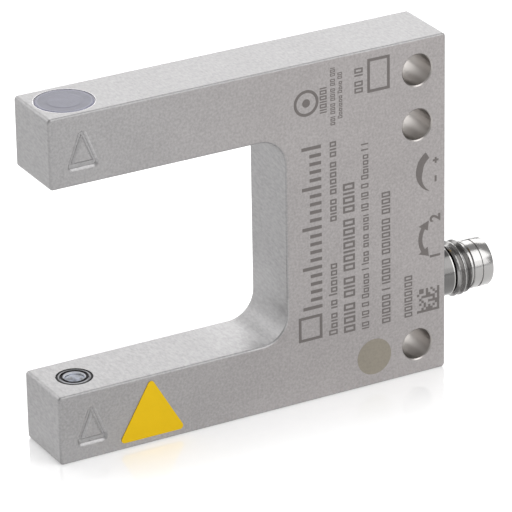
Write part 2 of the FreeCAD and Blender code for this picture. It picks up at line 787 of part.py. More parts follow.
def make_plug_insert():
    """The moulded insert that holds the pins, with a coding rib and a groove for its seal."""
    front = "socket_floor + insert_flange"
    radius, waist = "insert_diameter / 2", "insert_groove_diameter / 2"
    groove_back = "insert_groove_start - insert_groove_width"
    body = turned("plug_insert", [
        ("-insert_back", "0"), (front, "0"), (front, "socket_diameter / 2 - fit_gap"),
        ("socket_floor", "socket_diameter / 2 - fit_gap"), ("socket_floor", radius),
        ("insert_groove_start", radius), ("insert_groove_start", waist), (groove_back, waist),
        (groove_back, radius), ("-insert_back", radius),
    ], x=REAR, z="plug_level")
    rib = new_sketch(body, "coding_rib", "YZ_Plane", front)
    top = "socket_diameter / 2 - key_gap"
    draw_outline(rib, box_corners("-key_width / 2", "key_width / 2", f"-({top})", f"key_height - ({top})"))
    pad(body, rib, "key_length")
    wide = new_sketch(body, "pin_holes", "YZ_Plane", front)
    narrow = new_sketch(body, "tail_holes", "YZ_Plane", front)
    for across, up in pin_spots():
        draw_circle(wide, across, up, "pin_diameter + 2 * fit_gap")
        draw_circle(narrow, across, up, "pin_tail_diameter + 2 * fit_gap")
    pocket(body, wide, f"{front} + pin_step + fit_gap")
    pocket(body, narrow, f"{front} + insert_back + fit_gap")
    middle = f"{REAR} + insert_groove_start - insert_groove_width / 2"
    ring("plug_ring", f"{waist} + seal_cord / 2", middle, "plug_level")


def make_pins():
    """Three pins with chamfered tips, whose tails turn down onto the main board."""
    shoulder = f"{REAR} - pin_step"
    bend = f"{REAR} - plug_seat - pin_overhang"
    length = "plug_reach - pin_recess - pin_tip_length + pin_step"
    tail_radius = "pin_tail_diameter / 2"
    for number, (out, up) in enumerate(pin_spots(), start=1):
        level = f"plug_level + {up}"
        name = f"plug_pin_{number}"
        contact = cylinder(f"{name}_contact", "pin_diameter / 2", length, shoulder, out, level, BAR_TO_X)
        tip = doc.addObject("Part::Cone", f"{name}_tip")
        bind(tip, Radius1="pin_diameter / 2", Radius2="pin_tip_diameter / 2", Height="pin_tip_length")
        place(tip, f"{shoulder} + {length}", out, level, BAR_TO_X)
        tail = cylinder(f"{name}_tail", tail_radius, f"{shoulder} - ({bend})", bend, out, level, BAR_TO_X)
        elbow = doc.addObject("Part::Sphere", f"{name}_elbow")
        bind(elbow, Radius=tail_radius)
        place(elbow, bend, out, level)
        leg = cylinder(f"{name}_leg", tail_radius, f"{out} + board_drop", bend, out, level, BAR_TO_FRONT)
        fuse(name, [contact, tip, tail, elbow, leg])


def make_marker():
    """The plain yellow triangle stuck on the front of the lower arm."""
    body = new_body("marker_label")
    sketch = new_sketch(body, "marker_outline", offset="body_width / 2")
    middle = "marker_inset - body_length / 2"
    draw_triangle(sketch, middle, "marker_rise", "marker_side", "marker_side * sqrt(3) / 2")
    pad(body, sketch, "marker_thickness")
    back = -size("body_width") / 2
    front = back - size("marker_thickness")
    dress(body, "Fillet", lambda edge: runs_across(edge, front, back), Radius="marker_round")


def check_document():
    """Stop if anything failed, or if a piece is not one sound solid."""
    doc.recompute()
    failed = [thing.Label for thing in doc.Objects if {"Invalid", "Error"} & set(thing.State)]
    if failed:
        raise RuntimeError(f"these objects failed: {failed}")
    for piece in pieces:
        shape = piece.Shape
        if shape.isNull() or not shape.isValid() or len(shape.Solids) != 1:
            raise RuntimeError(f"{piece.Label} is not one sound solid")


def write_pieces():
    """Write each piece to a file with its own name."""
    os.makedirs("parts", exist_ok=True)
    for piece in pieces:
        piece.Shape.exportStep(f"parts/{piece.Label}.step")
        print(f"{piece.Label}: {piece.Shape.Volume:.2f} mm3")


fill_sheet()
make_housing()
make_back_cover()
make_emitter()
make_receiver()
make_window()
make_main_board()
make_adjuster("sensitivity", "sensitivity_trimmer", SENSITIVITY_LEVEL)
make_adjuster("mode", "mode_switch", MODE_LEVEL)
make_plug_shell()
make_plug_insert()
make_pins()
make_marker()
check_document()
write_pieces()
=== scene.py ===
import itertools
import json
import math
import random

import bmesh
import bpy
from bpy.props import FloatProperty, FloatVectorProperty, IntProperty, PointerProperty
from mathutils import Euler, Matrix, Vector

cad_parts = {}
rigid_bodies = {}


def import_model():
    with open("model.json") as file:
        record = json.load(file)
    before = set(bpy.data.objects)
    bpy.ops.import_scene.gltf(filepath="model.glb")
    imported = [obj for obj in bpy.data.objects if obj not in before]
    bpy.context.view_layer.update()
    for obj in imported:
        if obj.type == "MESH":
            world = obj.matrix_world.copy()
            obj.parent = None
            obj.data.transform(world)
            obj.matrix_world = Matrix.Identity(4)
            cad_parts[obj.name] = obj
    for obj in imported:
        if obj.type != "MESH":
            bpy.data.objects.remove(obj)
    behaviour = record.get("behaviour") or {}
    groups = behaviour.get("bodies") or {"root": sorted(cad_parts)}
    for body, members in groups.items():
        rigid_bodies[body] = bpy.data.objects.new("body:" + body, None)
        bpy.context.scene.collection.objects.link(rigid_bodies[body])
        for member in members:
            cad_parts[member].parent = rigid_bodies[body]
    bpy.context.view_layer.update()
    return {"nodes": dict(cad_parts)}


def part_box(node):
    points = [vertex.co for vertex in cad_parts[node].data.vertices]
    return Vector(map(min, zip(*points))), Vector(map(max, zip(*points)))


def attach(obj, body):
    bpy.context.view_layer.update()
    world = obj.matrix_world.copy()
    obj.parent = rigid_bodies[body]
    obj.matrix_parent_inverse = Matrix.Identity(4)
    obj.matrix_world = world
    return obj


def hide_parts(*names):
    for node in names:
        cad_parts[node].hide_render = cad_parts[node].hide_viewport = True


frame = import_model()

bl_info = {
    "name": "Fork Light Barrier Finish",
    "version": (1, 0, 0),
    "blender": (4, 5, 0),
    "location": "3D View > Sidebar > Fork",
    "description": "Finishes, etched marks, plug thread and stage for a stainless fork light barrier",
    "category": "Object",
}

MM = 0.001
BODY = "fork"

# Places that the frame gives: the housing's faces, the beam and the plug's axis
LOW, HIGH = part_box("housing")
WINDOW_LOW, WINDOW_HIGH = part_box("indicator_window")
PLUG_LOW, PLUG_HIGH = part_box("plug_shell")
BEAM = (WINDOW_LOW + WINDOW_HIGH) / 2
PLUG_AXIS = Vector((HIGH.x, (PLUG_LOW.y + PLUG_HIGH.y) / 2, (PLUG_LOW.z + PLUG_HIGH.z) / 2))

# The body's own measures: from arm to arm, the slot's depth, the arms' height and the holes' places
ARM_PITCH = 40 * MM
SLOT_DEPTH = 35 * MM
ARM_HEIGHT = 10 * MM
HOLE_INSET = 4.5 * MM
HOLE_LEVELS = (4.5 * MM, 37.5 * MM, 45.5 * MM)

# Turns that bring a pattern's own Z axis onto the part's axes
ALONG_X = (0, math.pi / 2, 0)
ALONG_Z = (0, 0, 0)
# The turn that stands a flat mark up against the front face
FACING_FRONT = (math.pi / 2, 0, 0)

# Fields on the front face, in millimetres from the open end and from the underside: left, right, low, high
ENGRAVED_FIELD = (2, 8, 2.2, 8.2)
SLOT_CORNER = (28.9, 35.7, 9.3, 16.1)

# Etched rows, as fields and patterns. Each row climbs, and repeats its pattern of tall (O, I) and low (o, i)
# frames and bars with spaces between.
ROWS = (
    (41.45, 42.8, 9.2, 21.1, "Ooio io Iooioo "),
    (41.45, 42.8, 26.2, 38.0, "oioo oiooio oio "),
    (43.8, 45.6, 9.0, 32.2, "OOIO OIO OOIOIOO "),
    (46.65, 47.8, 8.9, 36.7, "IO IO O Ooioo I Ioo oio oioi "),
    (49.85, 51.2, 9.0, 29.4, "OIOOO I IOOIO OOIOOO "),
    (53.45, 54.7, 9.0, 16.0, "OOIOOIOO"),
    (40.33, 41.4, 42.35, 46.07, "IIOIOO"),
    (41.97, 42.7, 40.3, 48.75, "OOI OOO OOIO OO "),
    (43.1, 43.8, 41.06, 48.06, "Oooiooo Ooio O"),
    (45.7, 47.0, 44.1, 48.6, "OO IO"),
)
SCALE_FIELD = (37.45, 40.45, 13.8, 37.9)
SQUARE_SIGN = (36.7, 40.4, 9.2, 12.9)
BLANK_FIELD = (47.7, 51.2, 43.8, 48.7)
CHECKER_FIELD = (55.45, 59.05, 9.15, 12.75)

# Centres on the front face, in millimetres from the open end and from the underside
RING_SIGN = (38.25, 44.3)
ROUND_SPOT = (48.6, 4.3)
SENSE_ARC = (58.6, 30.35)
MODE_ARC = (59.3, 20.2)
PLUS_SIGN = (58.43, 31.7)
MINUS_SIGN = (58.43, 28.95)
NUMBERS = {"2": (58.45, 23.1), "1": (58.45, 17.4)}

# Lamps, as places and sizes in metres. The powers are in the stage's settings.
LAMPS = {
    "back": ((0.75, 1.15, 0.75), (1.3, 0.9)),
    "front": ((0.5, -0.64, 0.9), (0.9, 0.9)),
    "low": ((0.67, -1.17, 0.41), (0.8, 0.56)),
    "side": ((-0.6, 1.15, 0.65), (1.3, 0.9)),
}


def colour(name, description, default):
    """A colour that a user can change."""
    return FloatVectorProperty(
        name=name, description=description, default=default, subtype="COLOR", size=3, min=0, max=1
    )


def length(name, description, millimetres):
    """A length that a user can change, given in millimetres."""
    return FloatProperty(
        name=name, description=description, default=millimetres * MM, unit="LENGTH", precision=5
    )


def share(name, description, default):
    """A number from nothing to one."""
    return FloatProperty(name=name, description=description, default=default, subtype="FACTOR", min=0, max=1)


def power(name, place, watts):
    """The power of a lamp that stands at the place that is named."""
    return FloatProperty(name=name, description=f"Power of the lamp {place}", default=watts, unit="POWER")


def angle(name, description, degrees):
    """An angle, given in degrees."""
    return FloatProperty(name=name, description=description, default=math.radians(degrees), subtype="ANGLE")


class ForkFinish(bpy.types.PropertyGroup):
    """Colours and surface grain."""

    steel: colour("Blasted steel", "Colour of the bead-blasted housing", (0.34, 0.335, 0.337))
    bright: colour("Turned steel", "Colour of turned steel", (0.37, 0.363, 0.358))
    bored: colour("Bored steel", "Colour of the mounting holes' walls", (0.40, 0.38, 0.365))
    etched: colour("Etched marks", "Colour of the laser-etched marks", (0.17, 0.155, 0.15))
    spot: colour("Tinted spot", "Colour of the heat-tinted round spot", (0.27, 0.247, 0.207))
    window: colour("Window", "Colour of the indicator window", (0.115, 0.115, 0.155))
    glass: colour("Lens", "Colour that the coated lens shows", (0.245, 0.275, 0.36))
    film: colour("Marker film", "Colour of the triangular marker", (0.80, 0.518, 0.0067))
    brass: colour("Brass", "Colour of the adjusting screws", (0.72, 0.50, 0.20))
    grain: length("Blast grain", "Size of the pits that the blasting leaves", 0.34)
    grain_depth: length("Blast depth", "Depth of those pits", 0.006)
    cloud: length("Cloud size", "Size of the soft patches in the blasted finish", 7)
    roughness: share("Roughness", "Roughness of the blasted steel", 0.5)


class ForkMarks(bpy.types.PropertyGroup):
    """Sizes that the etched marks share."""

    thickness: length("Thickness", "How far the marks stand proud of the face", 0.012)
    corner: length("Corner", "Rounding of the marks' corners", 0.05)
    stroke: length("Stroke", "Width of the lines in the ring and the frames", 0.42)
    stroke_share: share("Row stroke", "Width of the rows' strokes as a share of the row's height", 0.17)
    number_height: length("Number height", "Height of the two numbers beside the mode dial", 1.65)
    boldness: length("Number weight", "How far the numbers' strokes are widened on each side", 0.065)
    tick: length("Tick", "Thickness of the scale's ticks", 0.5)
    tick_count: IntProperty(name="Ticks", description="Number of ticks on the scale", default=21, min=2)


class ForkPlug(bpy.types.PropertyGroup):
    """Sizes of the threaded plug shell, measured along its axis from the rear face."""

    pitch: length("Pitch", "Rise of the thread in one turn", 1)
    crest: length("Thread diameter", "Outer diameter of the thread", 7.8)
    thread_start: length("Thread start", "Where the thread begins", 2.95)
    lead: length("Thread lead", "How far the first crest lies behind the thread's start, at the front", 0.2)
    thread_end: length("Thread end", "Where the thread ends", 5.35)
    chamfer: length("Thread chamfer", "Height of the chamfers at the thread's ends", 0.35)
    neck: length("Neck diameter", "Diameter of the smooth neck", 7.1)
    neck_end: length("Neck end", "Where the smooth neck ends in a small bevel", 2.6)
    neck_bevel: length("Neck bevel", "Size of that bevel", 0.12)
    undercut: length("Undercut diameter", "Diameter of the reliefs beside the thread", 6.5)
    nose: length("Nose diameter", "Diameter of the nose", 6.9)
    nose_start: length("Nose start", "Where the nose begins", 5.85)
    groove_start: length("Groove start", "Where the snap groove begins", 7)
    groove_width: length("Groove width", "Width of the snap groove", 0.3)
    groove_depth: length("Groove depth", "Depth of the snap groove", 0.12)
    socket: length("Socket diameter", "Inner diameter of the nose", 5.8)
    socket_floor: length("Socket floor", "Where the socket ends", 3)
    bore: length("Bore diameter", "Inner diameter behind the socket", 5.04)
    steps: IntProperty(name="Steps", description="Facets round the shell", default=160, min=24)


class ForkStage(bpy.types.PropertyGroup):
    """Camera, lamps and floor."""

    azimuth: angle("Azimuth", "Direction that the camera looks in, from +Y towards +X", 28.47)
    elevation: angle("Elevation", "How far the camera looks down", 24.36)
    roll: angle("Roll", "Turn of the camera about its own axis", -0.987)
    lens: FloatProperty(
        name="Lens", description="Focal length in millimetres", default=301.05, subtype="DISTANCE_CAMERA"
    )
    place: FloatVectorProperty(
        name="Camera place", description="Place of the camera", default=(-0.249945, -0.466375, 0.261461),
        subtype="TRANSLATION", size=3, precision=6,
    )
    floor_size: length("Floor size", "Side of the square floor", 6000)
    floor_glow: share("Floor glow", "How far the floor is lifted towards white where it is seen", 0.4)
    mirror_reach: length("Mirror reach", "How far from the part the floor still mirrors it", 12)
    ambient: share("Ambient", "Strength of the light that comes from all round", 0.55)
    back_power: power("Back lamp", "behind", 9.2)
    front_power: power("Front lamp", "high in front", 6.2)
    low_power: power("Low lamp", "that is low in front on the right", 2.5)
    side_power: power("Side lamp", "behind on the left", 7.2)


def add_node(tree, kind, settings=None, inputs=None):
    """Add a node, and set or link its inputs."""
    made = tree.nodes.new(kind)
    for key, value in (settings or {}).items():
        setattr(made, key, value)
    for key, value in (inputs or {}).items():
        if isinstance(value, bpy.types.NodeSocket):
            tree.links.new(value, made.inputs[key])
        else:
            made.inputs[key].default_value = value
    return made


def calc(tree, operation, *values):
    """Work out one number from others."""
    return add_node(tree, "ShaderNodeMath", {"operation": operation}, dict(enumerate(values))).outputs[0]


def vector_calc(tree, operation, *values):
    """Work out a vector, or its length, from others."""
    made = add_node(tree, "ShaderNodeVectorMath", {"operation": operation}, dict(enumerate(values)))
    return made.outputs["Value" if operation == "LENGTH" else "Vector"]


def coordinates(tree, vector):
    """The three numbers of a vector."""
    return add_node(tree, "ShaderNodeSeparateXYZ", inputs={0: vector}).outputs


def blend_colours(tree, factor, first, second):
    """Mix two colours by a factor."""
    inputs = {"Factor": factor, 6: first, 7: second}
    return add_node(tree, "ShaderNodeMix", {"data_type": "RGBA"}, inputs).outputs[2]


def blend_numbers(tree, factor, first, second):
    """Mix two numbers by a factor."""
    inputs = {"Factor": factor, 2: first, 3: second}
    return add_node(tree, "ShaderNodeMix", {"data_type": "FLOAT"}, inputs).outputs[0]


def tinted(tree, color, factor):
    """Make a colour lighter or darker by a factor."""
    inputs = {0: color, "Scale": factor}
    return add_node(tree, "ShaderNodeVectorMath", {"operation": "SCALE"}, inputs).outputs["Vector"]


def ramp(tree, value, start, end, first=0, last=1):
    """Run softly from the first number to the last while a value goes from start to end."""
    return add_node(tree, "ShaderNodeMapRange", {"interpolation_type": "SMOOTHSTEP"}, {
        "Value": value, "From Min": start, "From Max": end, "To Min": first, "To Max": last,
    }).outputs[0]


def within(tree, value, low, high):
    """One while a value lies between two bounds."""
    return calc(tree, "COMPARE", value, (low + high) / 2, (high - low) / 2)


def in_field(tree, across, up, field):
    """One inside a field given as left, right, low and high, in millimetres."""
    left, right, low, high = (side * MM for side in field)
    return calc(tree, "MULTIPLY", within(tree, across, left, right), within(tree, up, low, high))


def band(tree, radius, inner, outer, soft):
    """One between two radii in millimetres, with soft edges."""
    rise = ramp(tree, radius, (inner - soft) * MM, inner * MM)
    fall = ramp(tree, radius, outer * MM, (outer + soft) * MM, 1, 0)
    return calc(tree, "MULTIPLY", rise, fall)


def noise(tree, vector, size, detail, roughness):
    """Random patches of about one size."""
    return add_node(tree, "ShaderNodeTexNoise", inputs={
        "Vector": vector, "Scale": calc(tree, "DIVIDE", 1, size), "Detail": detail, "Roughness": roughness,
    }).outputs["Fac"]


def swing(tree, pattern, contrast):
    """How far a pattern lifts or lowers the surface's tone, about its middle value."""
    middle = 0.5
    return calc(tree, "MULTIPLY", calc(tree, "SUBTRACT", pattern, middle), contrast)


def polar(tree, vector):
    """How far a point lies from the Z axis, and how far along it."""
    flat = vector_calc(tree, "MULTIPLY", vector, (1, 1, 0))
    return vector_calc(tree, "LENGTH", flat), coordinates(tree, vector)[2]


def new_group(name, inputs, outputs):
    """Start a shader node group with named inputs and outputs."""
    tree = bpy.data.node_groups.new(name, "ShaderNodeTree")
    for direction, sockets in (("INPUT", inputs), ("OUTPUT", outputs)):
        for label, kind, value in sockets:
            socket = tree.interface.new_socket(name=label, in_out=direction, socket_type=f"NodeSocket{kind}")
            if value is not None:
                socket.default_value = value
    given = tree.nodes.new("NodeGroupInput")
    result = tree.nodes.new("NodeGroupOutput")
    return tree, given.outputs, result.inputs


def pattern_group(name, *values):
    """Start a group for a surface pattern that varies a colour and a roughness, and has a height."""
    return new_group(
        name,
        [("Vector", "Vector", None), ("Color", "Color", (0.5, 0.5, 0.5, 1)), ("Roughness", "Float", 0.5),
         *((label, "Float", value) for label, value in values)],
        [("Color", "Color", None), ("Roughness", "Float", None), ("Height", "Float", None)],
    )


def put_out(tree, given, result, factor, height):
    """Vary the given colour and roughness by a factor, and pass the height on."""
    tree.links.new(tinted(tree, given["Color"], factor), result["Color"])
    tree.links.new(calc(tree, "MULTIPLY", given["Roughness"], factor), result["Roughness"])
    tree.links.new(height, result["Height"])


def grain_group():
    """Fine pits with soft patches, as blasting and moulding leave them."""
    tree, given, result = pattern_group(
        "Surface Grain", ("Grain", 0.0002), ("Contrast", 0.3), ("Cloud", 0.007), ("Cloud Contrast", 0.1)
    )
    pits = noise(tree, given["Vector"], given["Grain"], detail=2.5, roughness=0.6)
    patches = noise(tree, given["Vector"], given["Cloud"], detail=3, roughness=0.55)
    fine = swing(tree, pits, given["Contrast"])
    soft = swing(tree, patches, given["Cloud Contrast"])
    put_out(tree, given, result, calc(tree, "ADD", 1, calc(tree, "ADD", fine, soft)), pits)
    return tree


def lathe_group():
    """Fine rings about the pattern's Z axis, as a lathe leaves them."""
    tree, given, result = pattern_group("Lathe Rings", ("Feed", 0.00008), ("Contrast", 0.2))
    radius, along = polar(tree, given["Vector"])
    run = calc(tree, "DIVIDE", calc(tree, "ADD", along, radius), given["Feed"])
    rings = add_node(
        tree, "ShaderNodeTexNoise", {"noise_dimensions": "1D"},
        {"W": run, "Scale": 1, "Detail": 2, "Roughness": 0.5},
    ).outputs["Fac"]
    put_out(tree, given, result, calc(tree, "ADD", 1, swing(tree, rings, given["Contrast"])), rings)
    return tree


def axis_group():
    """How far a point lies from the pattern's Z axis, and how far along it."""
    tree, given, result = new_group(
        "Axis Distance", [("Vector", "Vector", None)], [("Radius", "Float", None), ("Along", "Float", None)]
    )
    radius, along = polar(tree, given["Vector"])
    tree.links.new(radius, result["Radius"])
    tree.links.new(along, result["Along"])
    return tree


def place_group(tree, name, inputs):
    """Place a shared node group with its own values, and build it the first time."""
    makers = {"Surface Grain": grain_group, "Lathe Rings": lathe_group, "Axis Distance": axis_group}
    found = bpy.data.node_groups.get(name) or makers[name]()
    return add_node(tree, "ShaderNodeGroup", {"node_tree": found}, inputs).outputs


def solid(color, factor=1):
    """A colour with full cover, made lighter or darker by a factor."""
    return (*(factor * part for part in color), 1)


def new_material(name, **constants):
    """Start a material, and set the values that are the same all over it."""
    material = bpy.data.materials.new(name)
    material.use_nodes = True
    shader = material.node_tree.nodes["Principled BSDF"]
    for key, value in constants.items():
        shader.inputs[key.replace("_", " ")].default_value = value
    return material, material.node_tree, shader


def object_place(tree, centre=None, turn=ALONG_Z):
    """The surface point, measured from a centre along turned axes."""
    point = tree.nodes.new("ShaderNodeTexCoord").outputs["Object"]
    if centre is None:
        return point
    return add_node(
        tree, "ShaderNodeMapping", {"vector_type": "TEXTURE"},
        {"Vector": point, "Location": centre, "Rotation": turn},
    ).outputs[0]


def from_axis(tree, centre, turn=ALONG_Z):
    """How far the surface point lies from an axis through the centre, and how far along it."""
    return place_group(tree, "Axis Distance", {"Vector": object_place(tree, centre, turn)})


def bump(tree, shader, height, depth):
    """Let a height pattern of that depth roughen the surface."""
    made = add_node(tree, "ShaderNodeBump", inputs={"Height": height, "Strength": 1.0, "Distance": depth})
    tree.links.new(made.outputs[0], shader.inputs["Normal"])


def patterned(name, kind, color, roughness, depth, values, centre=None, turn=ALONG_Z, **constants):
    """A material whose colour, roughness and relief come from one of the shared groups."""
    material, tree, shader = new_material(name, **constants)
    pattern = place_group(tree, kind, {
        "Vector": object_place(tree, centre, turn), "Color": solid(color), "Roughness": roughness, **values,
    })
    tree.links.new(pattern["Color"], shader.inputs["Base Color"])
    tree.links.new(pattern["Roughness"], shader.inputs["Roughness"])
    bump(tree, shader, pattern["Height"], depth)
    return material


def moulded(name, color, roughness=0.5, grain=0.15, contrast=0.15, **constants):
    """A moulded or coated surface with fine grain."""
    values = {"Grain": grain * MM, "Contrast": contrast, "Cloud": 2 * MM, "Cloud Contrast": 0.08}
    depth = 0.002 * MM
    return patterned(name, "Surface Grain", color, roughness, depth, values, **constants)


def turned_metal(name, color, centre, turn, roughness=0.22, feed=0.07, contrast=0.25):
    """Metal turned on a lathe about an axis through the centre."""
    values, depth = {"Feed": feed * MM, "Contrast": contrast}, 0.0006 * MM
    return patterned(name, "Lathe Rings", color, roughness, depth, values, centre, turn, Metallic=1.0)


def etched_material(context):
    """The darkened steel of the laser-etched marks, which several pieces share."""
    name, finish = "Etched Steel", context.scene.fork_finish
    values = {"Grain": finish.grain, "Contrast": 0.5, "Cloud": finish.cloud, "Cloud Contrast": 0.2}
    return bpy.data.materials.get(name) or patterned(
        name, "Surface Grain", finish.etched, 0.6, finish.grain_depth, values, Metallic=0.7
    )


def tint_material(material, factor):
    """Make a patterned material lighter or darker by a factor that changes over the surface."""
    tree = material.node_tree
    base = tree.nodes["Principled BSDF"].inputs["Base Color"]
    tree.links.new(tinted(tree, base.links[0].from_socket, factor), base)


def dress(node, material):
    """Give a piece of the frame its material."""
    target = frame["nodes"][node]
    target.data.materials.clear()
    target.data.materials.append(material)


def start_piece(name, material):
    """Start a new, empty piece at the origin and open it for modelling."""
    bpy.ops.object.select_all(action="DESELECT")
    bpy.ops.mesh.primitive_plane_add(size=MM)
    piece = bpy.context.object
    piece.name = name
    piece.data.name = name
    piece.data.materials.append(material)
    bpy.ops.object.mode_set(mode="EDIT")
    bpy.ops.mesh.delete(type="VERT")
    return piece


def draw_line(points):
    """Draw a chain of edges through points, in the piece that is open."""
    bpy.ops.mesh.select_all(action="DESELECT")
    bpy.ops.mesh.primitive_plane_add(size=MM, location=points[0])
    bpy.ops.mesh.merge(type="CENTER")
    for start, end in zip(points, points[1:]):
        step = Vector(end) - Vector(start)
        bpy.ops.mesh.extrude_vertices_move(TRANSFORM_OT_translate={"value": step})
    bpy.ops.mesh.select_linked()


def raise_marks(thickness):
    """Give all the flat shapes in the open piece their thickness, towards the front."""
    bpy.ops.mesh.select_all(action="SELECT")
    bpy.ops.mesh.extrude_region_move(TRANSFORM_OT_translate={"value": (0, -thickness, 0)})
    bpy.ops.mesh.select_all(action="SELECT")
    bpy.ops.mesh.normals_make_consistent(inside=False)


def finish_piece(piece, slot, *stands_for):
    """Close the piece, and let it ride on the fork."""
    bpy.ops.object.mode_set(mode="OBJECT")
    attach(piece, BODY)
    if stands_for:
        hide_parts(*stands_for)


def on_front(across, up):
    """A point on the front face, from millimetres off the open end and the underside."""
    return Vector((LOW.x + across * MM, LOW.y, LOW.z + up * MM))


def add_block(left, right, low, high):
    """Add a flat block on the front face, between sides in millimetres."""
    width = right - left
    middle = on_front((left + right) / 2, (low + high) / 2)
    bpy.ops.mesh.primitive_plane_add(size=width * MM, location=middle, rotation=FACING_FRONT)
    bpy.ops.transform.resize(value=(1, 1, (high - low) / width), center_override=middle)


def add_frame(left, right, low, high, stroke):
    """Add a hollow rectangle of four strokes on the front face."""
    add_block(left, left + stroke, low, high)
    add_block(right - stroke, right, low, high)
    add_block(left + stroke, right - stroke, low, low + stroke)
    add_block(left + stroke, right - stroke, high - stroke, high)


def add_disc(centre, radius, steps=48):
    """Add a flat disc on the front face."""
    bpy.ops.mesh.primitive_circle_add(
        vertices=steps, radius=radius * MM, fill_type="NGON", location=on_front(*centre),
        rotation=FACING_FRONT,
    )


def add_ring(centre, radius, stroke):
    """Add a flat ring on the front face."""
    add_disc(centre, radius)
    bpy.ops.mesh.inset(thickness=stroke * MM)
    bpy.ops.mesh.delete(type="FACE")


def add_arc(centre, inner, outer, start, end, steps=28):
    """Add a flat band between two radii, from one angle to another in degrees, counted from +X."""
    pivot = on_front(*centre)
    heading = Vector((math.cos(math.radians(start)), 0, math.sin(math.radians(start))))
    draw_line([pivot + heading * inner * MM, pivot + heading * outer * MM])
    bpy.ops.mesh.spin(
        steps=steps, angle=math.radians(end - start), center=pivot, axis=(0, 1, 0), use_auto_merge=False
    )


def add_shape(points):
    """Add a flat shape on the front face, with corners in millimetres."""
    draw_line([on_front(*point) for point in points])
    bpy.ops.mesh.edge_face_add()


class FORK_OT_set_stage(bpy.types.Operator):
    """Set up the camera, the lamps, the pale floor and the white surroundings."""

    bl_idname = "fork.set_stage"
    bl_label = "Stage"

    def execute(self, context):
        stage = context.scene.fork_stage
        bpy.ops.object.select_all(action="DESELECT")
        looking = Euler((math.pi / 2 - stage.elevation, 0, -stage.azimuth)).to_matrix()
        rolled = looking @ Matrix.Rotation(stage.roll, 3, "Z")
        bpy.ops.object.camera_add(location=stage.place, rotation=rolled.to_euler())
        camera = context.object
        camera.name = "camera"
        camera.data.sensor_width = 36
        camera.data.lens = stage.lens
        camera.data.clip_start = 0.01
        context.scene.camera = camera
        for name, (place, size) in LAMPS.items():
            self.add_lamp(f"{name}_lamp", place, size, getattr(stage, f"{name}_power"))
        self.add_floor(stage)
        self.set_world(context.scene, stage)
        context.scene.view_settings.view_transform = "Standard"
        return {"FINISHED"}

    def add_lamp(self, name, place, size, watts):
        """Add a soft lamp that shines on the middle of the part."""
        middle = (LOW + HIGH) / 2
        turn = (middle - Vector(place)).to_track_quat("-Z", "Y").to_euler()
        bpy.ops.object.light_add(type="AREA", location=place, rotation=turn)
        lamp = bpy.context.object
        lamp.name = name
        lamp.data.shape = "RECTANGLE"
        lamp.data.size, lamp.data.size_y = size
        lamp.data.energy = watts
        lamp.visible_camera = False

    def add_floor(self, stage):
        """Lay the pale floor, which mirrors the part faintly close to it."""
        material, tree, shader = new_material(
            "Pale Floor", Roughness=0.6, Specular_IOR_Level=0.1, Coat_IOR=3.2, Coat_Roughness=0.02
        )
        shader.inputs["Base Color"].default_value = (0.8, 0.8, 0.8, 1)
        shader.inputs["Emission Color"].default_value = (1, 1, 1, 1)
        tree.links.new(self.seen(tree, 0, stage.floor_glow), shader.inputs["Emission Strength"])
        tree.links.new(self.near_part(tree, stage), shader.inputs["Coat Weight"])
        bpy.ops.object.select_all(action="DESELECT")
        bpy.ops.mesh.primitive_plane_add(size=stage.floor_size, location=(0, 0, LOW.z))
        floor = bpy.context.object
        floor.name = "floor"
        floor.data.materials.append(material)

    def near_part(self, tree, stage):
        """One beside the part, falling to nothing over the reach of the mirroring."""
        centre, half = (LOW + HIGH) / 2, (HIGH - LOW) / 2
        point = vector_calc(tree, "SUBTRACT", object_place(tree), (centre.x, centre.y, 0))
        past = vector_calc(tree, "SUBTRACT", vector_calc(tree, "ABSOLUTE", point), (half.x, half.y, 1))
        distance = vector_calc(tree, "LENGTH", vector_calc(tree, "MAXIMUM", past, (0, 0, 0)))
        return add_node(tree, "ShaderNodeMapRange", inputs={
            "Value": distance, "From Min": 0, "From Max": stage.mirror_reach, "To Min": 1, "To Max": 0,
        }).outputs[0]

    def set_world(self, scene, stage):
        """Surround the part with soft, even light."""
        world = bpy.data.worlds.new("soft_surroundings")
        scene.world = world
        world.use_nodes = True
        background = world.node_tree.nodes["Background"]
        background.inputs["Color"].default_value = (1, 1, 1, 1)
        background.inputs["Strength"].default_value = stage.ambient

    def seen(self, tree, hidden, shown):
        """A number that differs for what the camera sees, directly or in metal and glass."""
        rays = tree.nodes.new("ShaderNodeLightPath").outputs
        direct = calc(tree, "MAXIMUM", rays["Is Camera Ray"], rays["Is Glossy Ray"])
        return blend_numbers(tree, calc(tree, "MAXIMUM", direct, rays["Is Transmission Ray"]), hidden, shown)


